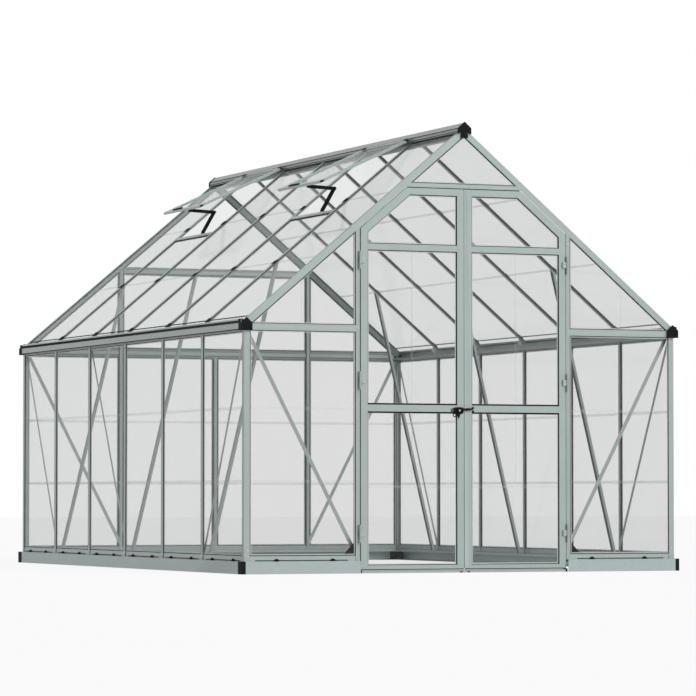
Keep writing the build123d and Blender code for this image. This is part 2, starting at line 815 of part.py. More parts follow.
def post_gussets():
    x0 = door_post_inner + door_post_width + seat_gap
    z0 = base_height + sill_height + 2 * seat_gap
    points = ((x0, z0), (x0 + gusset_leg, z0), (x0, z0 + gusset_leg))
    y0 = -half_length + lip_inner + seat_gap
    gusset = across(points, y0 + gusset_gauge, y0)
    return [gusset] + mirrored([gusset])


# Doors: the left leaf is modelled, the right leaf mirrors it
def leaf_y(d):
    return -half_length - d


def tube_block(x0, x1, z0, z1, upright):
    """A hollow leaf bar between two X and Z planes."""
    d0, d1 = leaf_y(leaf_front), leaf_y(-leaf_back)
    outer = box(x0, x1, d0, d1, z0, z1)
    g = leaf_gauge
    if upright:
        return outer - box(x0 + g, x1 - g, d0 + g, d1 - g, z0, z1)
    return outer - box(x0, x1, d0 + g, d1 - g, z0 + g, z1 - g)


def leaf_under(x):
    """The height of the leaf's sloping edge at x from the middle."""
    return rake_under - rake_gap / cos(radians(roof_pitch)) - abs(x) * slope


def leaf_cut(points):
    """An outline of X and Z points through the whole depth of a leaf."""
    return across(points, -half_length + frame_depth, -half_length - frame_depth)


def door_left_frame():
    outer_x0, outer_x1 = -leaf_outer, -leaf_outer + stile_width
    inner_x0, inner_x1 = -leaf_inner - stile_width, -leaf_inner
    under = leaf_cut(((-leaf_outer, 0), (0, 0), (0, leaf_under(0)), (-leaf_outer, leaf_under(leaf_outer))))
    outer_stile = tube_block(outer_x0, outer_x1, leaf_bottom, leaf_top, True) & under
    inner_stile = tube_block(inner_x0, inner_x1, leaf_bottom, leaf_top, True)
    bars = [outer_stile, inner_stile]
    r0, r1 = outer_x1 + seat_gap, inner_x0 - seat_gap
    for z, high in (
        (leaf_bottom, bottom_rail_height),
        (mid_rail_bottom, mid_rail_height),
        (transom_bottom, transom_height),
    ):
        bars.append(tube_block(r0, r1, z, z + high, False))
    band_height = stile_width / cos(radians(roof_pitch))
    band_under = leaf_under(r0) - band_height
    d0, d1 = leaf_y(-leaf_back), leaf_y(leaf_front)
    peak = leaf_under(0)
    band = across(((r0, leaf_under(r0)), (0, peak), (0, peak - band_height), (r0, band_under)), d0, d1)
    sloping = band & leaf_cut(((r0, 0), (r1, 0), (r1, leaf_top), (r0, leaf_top)))
    inner_under = leaf_under(r1) - band_height
    clear = leaf_cut(((r0, 0), (r1, 0), (r1, inner_under - seat_gap), (r0, band_under - seat_gap)))
    top = tube_block(r0, r1, leaf_top - top_rail_height, leaf_top, False) & clear
    return bars + [top, sloping]


def door_left_panes():
    r0 = -leaf_outer + stile_width + seat_gap
    r1 = -leaf_inner - stile_width - seat_gap
    levels = (
        (leaf_bottom + bottom_rail_height, mid_rail_bottom),
        (mid_rail_bottom + mid_rail_height, transom_bottom),
        (transom_bottom + transom_height, leaf_top - top_rail_height),
    )
    clear = (stile_width + 2 * seat_gap) / cos(radians(roof_pitch))
    clip = leaf_cut(((r0, 0), (r1, 0), (r1, leaf_under(r1) - clear), (r0, leaf_under(r0) - clear)))
    y0, y1 = leaf_y(pane_half), leaf_y(-pane_half)
    return [box(r0, r1, y0, y1, z0 + seat_gap, z1 - seat_gap) & clip for z0, z1 in levels]


def cylinder(radius, x, y, z0, z1):
    return Pos(x, y, (z0 + z1) / 2) * Cylinder(radius, z1 - z0)


def hinge_cuts(level):
    """The heights where a hinge's knuckles begin and end."""
    third = hinge_length / 3
    low = level - hinge_length / 2
    return low, low + third, low + 2 * third, low + hinge_length


def post_hinges():
    y = leaf_y(hinge_out)
    hinges = []
    for level in hinge_levels:
        a, b, c, d = hinge_cuts(level)
        pin = cylinder(pin_radius, -hinge_x, y, a, d)
        part = pin
        for z0, z1 in ((a, b - knuckle_gap), (c + knuckle_gap, d)):
            knuckle = cylinder(knuckle_radius, -hinge_x, y, z0, z1)
            tab = box(-hinge_x - knuckle_radius, -hinge_x, y, leaf_y(face_out + seat_gap), z0, z1)
            part = part + knuckle + tab
        hinges.append(part)
    return hinges + mirrored(hinges)


def door_left_hinges():
    y = leaf_y(hinge_out)
    hinges = []
    for level in hinge_levels:
        a, b, c, d = hinge_cuts(level)
        knuckle = cylinder(knuckle_radius, -hinge_x, y, b, c)
        end = -leaf_outer + stile_width / 2
        tab = box(-hinge_x, end, y, y + 2 * leaf_gauge, b, c)
        foot = box(-leaf_outer + leaf_gauge, end, y, leaf_y(leaf_front + seat_gap), b, c)
        bore = cylinder(pin_radius + pin_clearance, -hinge_x, y, a, d)
        hinges.append(knuckle + tab + foot - bore)
    return hinges


# Latch
def latch_plate():
    y0 = leaf_y(leaf_front + seat_gap)
    y1 = y0 - latch_plate_gauge
    half = latch_plate_width / 2
    low, high = latch_level - latch_plate_height / 2, latch_level + latch_plate_height / 2
    plate = box(latch_pivot_x - half, latch_pivot_x + half, y0, y1, low, high)
    plate = fillet(plate.edges().filter_by(Axis.Y), latch_plate_height / 4)
    around = Plane(origin=(latch_pivot_x, y0, latch_level), z_dir=(0, -1, 0))
    return [plate - around.location * Cylinder(2 * pin_radius + pin_clearance, 2 * leaf_front)]


def latch_lever():
    y0 = leaf_y(leaf_front + seat_gap + latch_plate_gauge + latch_lift)
    plane = Plane(origin=(latch_pivot_x, y0, latch_level), x_dir=(1, 0, 0), z_dir=(0, -1, 0))
    tip = -latch_pivot_x - latch_tip_gap / 2
    r = latch_hub_radius
    arm = make_face(Polyline((-r, 0), (-r, r), (tip, r), (tip, 0), (r, -r / 2), (0, -r), close=True))
    lever = extrude(plane * (Circle(r) + arm), latch_gauge)
    pin_length = latch_plate_gauge + latch_lift - seat_gap
    return [lever + extrude(plane * Circle(2 * pin_radius), -pin_length)]


def latch_keeper():
    y0 = leaf_y(leaf_front + seat_gap)
    x0, x1 = latch_tip_gap / 2, keeper_end - stile_width / 4
    high = latch_level + latch_hub_radius
    points = ((x0, latch_level), (x0, high), (x1, high), (x1, high - keeper_tip))
    return [across(points, y0, y0 - latch_plate_gauge - latch_lift - latch_gauge)]


left_frame, left_panes, left_hinges = door_left_frame(), door_left_panes(), door_left_hinges()
left_slope = rafters_left()
nodes = {
    "base_rails_side": base_rails_side(),
    "base_rail_back": base_rail_back(),
    "base_rails_front": base_rails_front(),
    "base_corner_caps": base_corner_caps(),
    "base_corner_brackets": base_corner_brackets(),
    "door_threshold": door_threshold(),
    "wall_sills": wall_sills(),
    "corner_posts": corner_posts(),
    "side_posts_left": side_posts(LEFT),
    "side_posts_right": side_posts(RIGHT),
    "back_posts": back_posts(),
    "door_posts": door_posts(),
    "door_head": door_head(),
    "front_gable_rails": front_gable_rails(),
    "back_rails": back_rails(),
    "gutters": gutters(),
    "gutter_end_caps": gutter_end_caps(),
    "ridge_beam": ridge_beam(),
    "ridge_end_caps": ridge_end_caps(),
    "rafters_left": left_slope,
    "rafters_right": mirrored(left_slope),
    "front_rakes": [rake(-1)] + mirrored([rake(-1)]),
    "back_rakes": [rake(1)] + mirrored([rake(1)]),
    "side_panes_left": side_panes(LEFT),
    "side_panes_right": side_panes(RIGHT),
    "front_panes": front_panes(),
    "back_panes": back_panes(),
    "roof_panes_left": roof_panes_left(vent_bays),
    "roof_panes_right": mirrored(roof_panes_left(())),
    "vent_sills": vent_sills(),
    "vent_frames": vent_frames(),
    "vent_panes": vent_panes(),
    "vent_stays": vent_stays(),
    "roof_struts": roof_struts(),
    "wall_straps": wall_straps(),
    "post_gussets": post_gussets(),
    "post_hinges": post_hinges(),
    "door_left_frame": left_frame,
    "door_left_panes": left_panes,
    "door_left_hinges": left_hinges,
    "latch_plate": latch_plate(),
    "latch_lever": latch_lever(),
    "door_right_frame": mirrored(left_frame),
    "door_right_panes": mirrored(left_panes),
    "door_right_hinges": mirrored(left_hinges),
    "latch_keeper": latch_keeper(),
}

os.makedirs("parts", exist_ok=True)
for name, pieces in nodes.items():
    solids = [solid for piece in pieces for solid in piece.solids()]
    shape = solids[0] if len(solids) == 1 else Compound(children=solids)
    export_step(shape, f"parts/{name}.step")
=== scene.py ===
import logging
import math
from collections.abc import Callable, Iterable
from dataclasses import dataclass
from enum import Enum

import bmesh
import bpy
from mathutils import Matrix, Vector


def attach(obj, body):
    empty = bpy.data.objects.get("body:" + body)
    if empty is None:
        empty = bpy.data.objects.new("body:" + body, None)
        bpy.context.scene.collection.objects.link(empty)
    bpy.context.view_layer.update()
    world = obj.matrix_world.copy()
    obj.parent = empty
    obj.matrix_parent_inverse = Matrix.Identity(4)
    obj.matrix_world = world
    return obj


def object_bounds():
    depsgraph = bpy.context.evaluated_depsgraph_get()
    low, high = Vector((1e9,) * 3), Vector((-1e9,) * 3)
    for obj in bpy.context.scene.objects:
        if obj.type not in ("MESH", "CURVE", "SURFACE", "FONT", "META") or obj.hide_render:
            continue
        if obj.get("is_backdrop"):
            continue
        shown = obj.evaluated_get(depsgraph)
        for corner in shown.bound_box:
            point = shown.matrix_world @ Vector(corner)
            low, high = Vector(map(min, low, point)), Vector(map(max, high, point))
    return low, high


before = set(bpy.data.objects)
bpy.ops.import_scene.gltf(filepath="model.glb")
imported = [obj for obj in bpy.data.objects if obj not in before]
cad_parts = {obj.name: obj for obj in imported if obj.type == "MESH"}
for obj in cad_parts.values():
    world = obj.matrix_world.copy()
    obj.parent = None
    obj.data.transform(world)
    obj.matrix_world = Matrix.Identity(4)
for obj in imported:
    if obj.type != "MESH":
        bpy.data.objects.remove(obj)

LOG = logging.getLogger("greenhouse")
Colour = tuple[float, float, float]
Pairs = tuple[tuple[float, float], ...]
Points = list[tuple[float, float]]


class Body(Enum):
    """The moving bodies of the frame."""

    BUILDING = "building"
    DOOR_LEFT = "door_left"
    DOOR_RIGHT = "door_right"
    LATCH = "latch"


class Slot(Enum):
    """The record's material slots."""

    FRAME = "aluminium_frame"
    DOOR = "door_aluminium"
    BASE = "galvanised_base"
    BLACK = "black_fittings"
    CLEAR = "clear_panes"


class Grain(Enum):
    """The way a bar was drawn: lengths over which its streaks repeat, in metres, and their turn about Y."""

    UPRIGHT = (0.0012, 0.0012, 0.45, 0.0)
    ACROSS = (0.45, 0.0012, 0.0012, 0.0)
    LENGTHWISE = (0.0012, 0.45, 0.0012, 0.0)
    SLOPING = (0.45, 0.0012, 0.0012, 40.0)


@dataclass(frozen=True)
class Greenhouse:
    """The sizes that the scene's own pieces share with the frame, in metres."""

    half_width: float = 1.22
    half_length: float = 1.83
    bay: float = 0.61
    eave: float = 1.286
    pitch: float = 40.0
    base_top: float = 0.064
    sill_top: float = 0.0923
    face_half: float = 0.015
    corner_face: float = 0.024
    bar_front: float = 0.006
    pane_front: float = 0.0016
    gutter_lip: float = 1.2347
    gutter_bottom: float = 1.242
    rail_top: float = 1.276
    back_rail_bottom: float = 1.237
    back_rail_top: float = 1.289
    collar_bottom: float = 1.741
    collar_top: float = 1.776
    rake_edge: float = 2.2745
    head_top: float = 2.0213
    post_outer: float = 0.612

    @property
    def slope(self) -> float:
        """The fall of the roof for each metre out from the ridge."""
        return math.tan(math.radians(self.pitch))

    @property
    def apex(self) -> float:
        """The height where the two panel planes meet."""
        return self.eave + self.half_width * self.slope

    def rake_x(self, z: float) -> float:
        """How far out the rakes' lower edge is at a height."""
        return (self.rake_edge - z) / self.slope

    def rake_z(self, x: float) -> float:
        """The height of the rakes' lower edge at a distance out."""
        return self.rake_edge - abs(x) * self.slope


HOUSE = Greenhouse()


class Wall(Enum):
    """The four walls, by the direction that each faces."""

    LEFT = (-1.0, 0.0)
    RIGHT = (1.0, 0.0)
    FRONT = (0.0, -1.0)
    BACK = (0.0, 1.0)

    def place(self, run: float, z: float, out: float = 0.0) -> Matrix:
        """A frame on the wall: X to the viewer's right, Y up, Z outward.

        Args:
            run: The distance along the wall, along +X or +Y.
            z: The height.
            out: The distance outward from the pane plane.

        Returns:
            The frame's matrix.
        """
        outward = Vector((*self.value, 0.0))
        across = Vector((0.0, 0.0, 1.0)).cross(outward)
        along = Vector((abs(across.x), abs(across.y), 0.0))
        plane = HOUSE.half_width if outward.x else HOUSE.half_length
        origin = outward * (plane + out) + along * run + Vector((0.0, 0.0, z))
        return frame_at(origin, across, Vector((0.0, 0.0, 1.0)), outward)

    def flat(self, points: Points) -> Points:
        """Points given as run and height, as this wall's own X and Y.

        Args:
            points: The corners, counter-clockwise along +X or +Y.

        Returns:
            The corners, counter-clockwise for a viewer outside.
        """
        outward = Vector((*self.value, 0.0))
        across = Vector((0.0, 0.0, 1.0)).cross(outward)
        sign = across.x + across.y
        turned = [(run * sign, z) for run, z in points]
        return turned if sign > 0 else turned[::-1]


class Roof(Enum):
    """The two roof slopes."""

    LEFT = -1.0
    RIGHT = 1.0

    def place(self, x: float, y: float, out: float = 0.0) -> Matrix:
        """A frame on the slope: X along the ridge, Y up the slope, Z outward.

        Args:
            x: The level distance out from the ridge line.
            y: The distance along the greenhouse.
            out: The distance out from the panel plane.

        Returns:
            The frame's matrix.
        """
        turn = math.radians(HOUSE.pitch)
        outward = Vector((self.value * math.sin(turn), 0.0, math.cos(turn)))
        up = Vector((-self.value * math.cos(turn), 0.0, math.sin(turn)))
        origin = Vector((self.value * x, y, HOUSE.apex - x * HOUSE.slope)) + outward * out
        return frame_at(origin, up.cross(outward), up, outward)


def frame_at(origin: Vector, x: Vector, y: Vector, z: Vector) -> Matrix:
    """A matrix with these axes at an origin."""
    turned = Matrix((x, y, z)).transposed().to_4x4()
    return Matrix.Translation(origin) @ turned


class Shading:
    """The nodes of one material, added and linked in turn."""

    def __init__(self, name: str) -> None:
        """Starts an empty material.

        Args:
            name: The material's name.
        """
        self.material = bpy.data.materials.new(name)
        self.material.use_nodes = True
        self.tree = self.material.node_tree
        self.tree.nodes.clear()
        self.out = self.tree.nodes.new("ShaderNodeOutputMaterial")

    def node(self, kind: str, **inputs: object) -> bpy.types.Node:
        """Adds a node and sets or links its inputs.

        Args:
            kind: The node's type, without the ShaderNode prefix.
            inputs: Values or output sockets, by input name with underscores for spaces, or by i and a number.

        Returns:
            The new node.
        """
        made = self.tree.nodes.new("ShaderNode" + kind)
        for key, value in inputs.items():
            numbered = key[0] == "i" and key[1:].isdigit()
            socket = made.inputs[int(key[1:]) if numbered else key.replace("_", " ")]
            if isinstance(value, bpy.types.NodeSocket):
                self.tree.links.new(value, socket)
            else:
                socket.default_value = value
        return made

    def math(self, operation: str, first: object, second: object = 0.0) -> bpy.types.NodeSocket:
        """Works on two numbers or sockets.

        Args:
            operation: The operation's name.
            first: The first number or socket.
            second: The second number or socket.

        Returns:
            The result's socket.
        """
        made = self.node("Math", i0=first, i1=second)
        made.operation = operation
        return made.outputs[0]

    def ranged(self, value: bpy.types.NodeSocket, low: float, high: float) -> bpy.types.NodeSocket:
        """A 0 to 1 value brought to a range."""
        return self.node("MapRange", Value=value, To_Min=low, To_Max=high).outputs["Result"]

    def blend(self, factor: bpy.types.NodeSocket, first: Colour, second: Colour) -> bpy.types.NodeSocket:
        """Mixes two colours.

        Args:
            factor: How much of the second colour, from 0 to 1.
            first: The first colour.
            second: The second colour.

        Returns:
            The mixed colour's socket.
        """
        made = self.tree.nodes.new("ShaderNodeMix")
        made.data_type = "RGBA"
        self.tree.links.new(factor, made.inputs["Factor"])
        made.inputs["A"].default_value = (*first, 1.0)
        made.inputs["B"].default_value = (*second, 1.0)
        return made.outputs["Result"]

    def place(self, mirrored: bool = False) -> bpy.types.NodeSocket:
        """Object coordinates.

        Args:
            mirrored: Whether X is the same on both sides of the greenhouse.

        Returns:
            The coordinates' socket.
        """
        coords = self.node("TexCoord").outputs["Object"]
        if not mirrored:
            return coords
        parts = self.node("SeparateXYZ", Vector=coords)
        across = self.math("ABSOLUTE", parts.outputs["X"])
        joined = self.node("CombineXYZ", X=across, Y=parts.outputs["Y"], Z=parts.outputs["Z"])
        return joined.outputs["Vector"]

    def noise(self, place: bpy.types.NodeSocket, scale: float, detail: float = 3.0) -> bpy.types.NodeSocket:
        """Soft noise from 0 to 1."""
        return self.node("TexNoise", Vector=place, Scale=scale, Detail=detail).outputs["Fac"]

    def bump(self, height: bpy.types.NodeSocket, strength: float, distance: float) -> bpy.types.NodeSocket:
        """Roughens a surface.

        Args:
            height: The height's socket.
            strength: How strongly it shows.
            distance: The height of a full step, in metres.

        Returns:
            The normal's socket.
        """
        made = self.node("Bump", Height=height)
        made.inputs["Strength"].default_value = strength
        made.inputs["Distance"].default_value = distance
        return made.outputs["Normal"]

    def finish(self, shader: bpy.types.Node) -> bpy.types.Material:
        """Links the last shader to the output."""
        self.tree.links.new(shader.outputs[0], self.out.inputs["Surface"])
        return self.material


def shade(colour: Colour, factor: float) -> Colour:
    """A colour made lighter or darker."""
    return tuple(min(1.0, c * factor) for c in colour)


@dataclass(frozen=True)
class DrawnAluminium:
    """Mill-finished aluminium with fine lines along the way it was drawn."""

    name: str
    grain: Grain
    colour: Colour = (0.385, 0.447, 0.428)
    metallic: float = 0.42
    rough: tuple[float, float] = (0.30, 0.46)
    streak: float = 0.07
    streak_share: float = 0.6
    cloud_scale: float = 9.0
    spread: tuple[float, float] = (0.3, 0.7)
    ridge_strength: float = 0.12
    ridge_height: float = 0.0004

    def material(self) -> bpy.types.Material:
        """Builds the node material."""
        s = Shading(self.name)
        *lengths, turn = self.grain.value
        lined = s.node("Mapping", Vector=s.place(mirrored=True))
        lined.vector_type = "TEXTURE"
        lined.inputs["Rotation"].default_value = (0.0, math.radians(turn), 0.0)
        lined.inputs["Scale"].default_value = lengths
        streaks = s.noise(lined.outputs["Vector"], 1.0, 4.0)
        clouds = s.noise(s.place(), self.cloud_scale)
        parts = [s.math("MULTIPLY", streaks, self.streak_share)]
        parts.append(s.math("MULTIPLY", clouds, 1.0 - self.streak_share))
        low, high = self.spread
        contrast = s.node("MapRange", Value=s.math("ADD", *parts), From_Min=low, From_Max=high)
        dark, light = shade(self.colour, 1 - self.streak), shade(self.colour, 1 + self.streak)
        colour = s.blend(contrast.outputs["Result"], dark, light)
        shader = s.node(
            "BsdfPrincipled",
            Base_Color=colour,
            Roughness=s.ranged(streaks, *self.rough),
            Normal=s.bump(streaks, self.ridge_strength, self.ridge_height),
        )
        shader.inputs["Metallic"].default_value = self.metallic
        return s.finish(shader)


@dataclass(frozen=True)
class GalvanisedSheet:
    """Zinc-coated steel: soft spangle, a slight haze and darker runs."""

    name: str
    colour: Colour = (0.375, 0.44, 0.435)
    spangle: float = 55.0
    bend_scale: float = 30.0
    haze_scale: float = 7.0
    flake_share: float = 0.55
    tones: tuple[float, float] = (0.90, 1.08)
    rough: tuple[float, float] = (0.34, 0.52)
    metallic: float = 0.5
    bump_strength: float = 0.06
    bump_height: float = 0.0004

    def material(self) -> bpy.types.Material:
        """Builds the node material."""
        s = Shading(self.name)
        place = s.place()
        bent = s.noise(place, self.bend_scale, 2.0)
        shift = s.node("CombineXYZ", X=bent, Y=bent, Z=bent).outputs["Vector"]
        moved = s.node("VectorMath", i0=place, i1=shift)
        moved.operation = "ADD"
        cells = s.node("TexVoronoi", Vector=moved.outputs["Vector"], Scale=self.spangle)
        flake = s.node("SeparateColor", Color=cells.outputs["Color"]).outputs["Red"]
        haze = s.noise(place, self.haze_scale, 4.0)
        parts = [s.math("MULTIPLY", flake, self.flake_share)]
        parts.append(s.math("MULTIPLY", haze, 1.0 - self.flake_share))
        colour = s.blend(s.math("ADD", *parts), *(shade(self.colour, tone) for tone in self.tones))
        shader = s.node(
            "BsdfPrincipled",
            Base_Color=colour,
            Roughness=s.ranged(flake, *self.rough),
            Normal=s.bump(flake, self.bump_strength, self.bump_height),
        )
        shader.inputs["Metallic"].default_value = self.metallic
        return s.finish(shader)


@dataclass(frozen=True)
class MouldedBlack:
    """Black moulded plastic with a fine grain."""

    name: str
    colour: Colour = (0.010, 0.011, 0.012)
    sheen: float = 0.07
    grain_scale: float = 900.0
    cloud_scale: float = 40.0
    tones: tuple[float, float] = (0.75, 1.6)
    rough: tuple[float, float] = (0.55, 0.75)
    grain_strength: float = 0.12
    grain_height: float = 0.0003

    def material(self) -> bpy.types.Material:
        """Builds the node material."""
        s = Shading(self.name)
        place = s.place()
        grain = s.noise(place, self.grain_scale, 2.0)
        clouds = s.noise(place, self.cloud_scale)
        colour = s.blend(clouds, *(shade(self.colour, tone) for tone in self.tones))
        shader = s.node(
            "BsdfPrincipled",
            Base_Color=colour,
            Roughness=s.ranged(clouds, *self.rough),
            Normal=s.bump(grain, self.grain_strength, self.grain_height),
        )
        shader.inputs["Specular IOR Level"].default_value = self.sheen
        return s.finish(shader)


@dataclass(frozen=True)
class ClearSheet:
    """Clear polycarbonate: a grey tint on each face, a little haze, and gloss that rises at a slant."""

    name: str
    tint: Colour = (0.925, 0.925, 0.925)
    slant_tint: Colour = (0.90, 0.905, 0.905)
    haze: float = 0.012
    haze_colour: Colour = (0.80, 0.82, 0.82)
    gloss: float = 0.35
    gloss_colour: Colour = (0.92, 0.94, 0.94)
    slant: float = 0.35
    bend: float = 1.45
    flow_scale: float = 2.2
    ripple_strength: float = 0.08
    ripple_height: float = 0.004
    rough: tuple[float, float] = (0.05, 0.12)
    haze_shade: float = 0.94
    haze_spread: float = 0.3

    def material(self) -> bpy.types.Material:
        """Builds the node material."""
        s = Shading(self.name)
        place = s.place()
        slant = s.node("LayerWeight", Blend=self.slant).outputs["Facing"]
        tint = s.blend(slant, self.tint, self.slant_tint)
        clear = s.node("BsdfTransparent", Color=tint)
        flow = s.noise(place, self.flow_scale, 2.0)
        ripple = s.bump(flow, self.ripple_strength, self.ripple_height)
        gloss = s.node("BsdfGlossy", Roughness=s.ranged(flow, *self.rough), Normal=ripple)
        gloss.inputs["Color"].default_value = (*self.gloss_colour, 1.0)
        fresnel = s.node("Fresnel", Normal=ripple)
        fresnel.inputs["IOR"].default_value = self.bend
        veil = s.blend(flow, shade(self.haze_colour, self.haze_shade), self.haze_colour)
        milky = s.node("BsdfDiffuse", Color=veil)
        low, high = self.haze * (1 - self.haze_spread), self.haze * (1 + self.haze_spread)
        hazed = s.node("MixShader", Fac=s.ranged(flow, low, high))
        s.tree.links.new(clear.outputs[0], hazed.inputs[1])
        s.tree.links.new(milky.outputs[0], hazed.inputs[2])
        front = s.math("SUBTRACT", 1.0, s.node("NewGeometry").outputs["Backfacing"])
        share = s.math("MULTIPLY", s.math("MULTIPLY", fresnel.outputs[0], self.gloss), front)
        whole = s.node("MixShader", Fac=share)
        s.tree.links.new(hazed.outputs[0], whole.inputs[1])
        s.tree.links.new(gloss.outputs[0], whole.inputs[2])
        return s.finish(whole)


@dataclass(frozen=True)
class Finishes:
    """Every finish of the greenhouse, built once."""

    upright: bpy.types.Material
    across: bpy.types.Material
    lengthwise: bpy.types.Material
    sloping: bpy.types.Material
    gutter: bpy.types.Material
    ridge: bpy.types.Material
    inner: bpy.types.Material
    leaf: bpy.types.Material
    cover: bpy.types.Material
    steel: bpy.types.Material
    brace: bpy.types.Material
    bright: bpy.types.Material
    black: bpy.types.Material
    pane: bpy.types.Material
    side_pane: bpy.types.Material
    roof_pane: bpy.types.Material
    strip: bpy.types.Material
    seal: bpy.types.Material

    @classmethod
    def build(cls) -> "Finishes":
        """Builds the materials."""
        return cls(
            upright=DrawnAluminium("Drawn aluminium upright", Grain.UPRIGHT).material(),
            across=DrawnAluminium("Drawn aluminium across", Grain.ACROSS).material(),
            lengthwise=DrawnAluminium("Drawn aluminium lengthwise", Grain.LENGTHWISE).material(),
            sloping=DrawnAluminium("Drawn aluminium sloping", Grain.SLOPING).material(),
            gutter=DrawnAluminium("Gutter aluminium", Grain.LENGTHWISE, (0.34, 0.385, 0.375)).material(),
            ridge=DrawnAluminium("Ridge aluminium", Grain.LENGTHWISE, (0.29, 0.32, 0.31)).material(),
            inner=DrawnAluminium("Brace aluminium", Grain.UPRIGHT, (0.36, 0.41, 0.40)).material(),
            leaf=DrawnAluminium("Door aluminium", Grain.UPRIGHT, (0.365, 0.43, 0.412)).material(),
            cover=DrawnAluminium("Cover strip aluminium", Grain.UPRIGHT, (0.37, 0.435, 0.42)).material(),
            steel=GalvanisedSheet("Galvanised sheet").material(),
            brace=GalvanisedSheet("Galvanised strap", (0.40, 0.45, 0.44), 120.0).material(),
            bright=GalvanisedSheet("Zinc screw", (0.55, 0.58, 0.57), 400.0).material(),
            black=MouldedBlack("Moulded black").material(),
            pane=ClearSheet("Clear sheet").material(),
            side_pane=ClearSheet("Clear side sheet").material(),
            roof_pane=ClearSheet("Clear roof sheet").material(),
            strip=ClearSheet(
                "Clear joint strip", (0.98, 0.98, 0.98), (0.92, 0.93, 0.93), 0.08, (0.94, 0.96, 0.96)
            ).material(),
            seal=ClearSheet(
                "Pale seal", (0.96, 0.96, 0.96), (0.90, 0.91, 0.91), 0.50, (0.90, 0.93, 0.92)
            ).material(),
        )


FACING = 0.9
QUARTER = Matrix.Rotation(math.radians(90), 4, "Z")


def facing_out(centre: Vector, normal: Vector) -> bool:
    """Whether a face looks out along Z."""
    return normal.z > FACING


def every_face(centre: Vector, normal: Vector) -> bool:
    """Passes each face."""
    return True


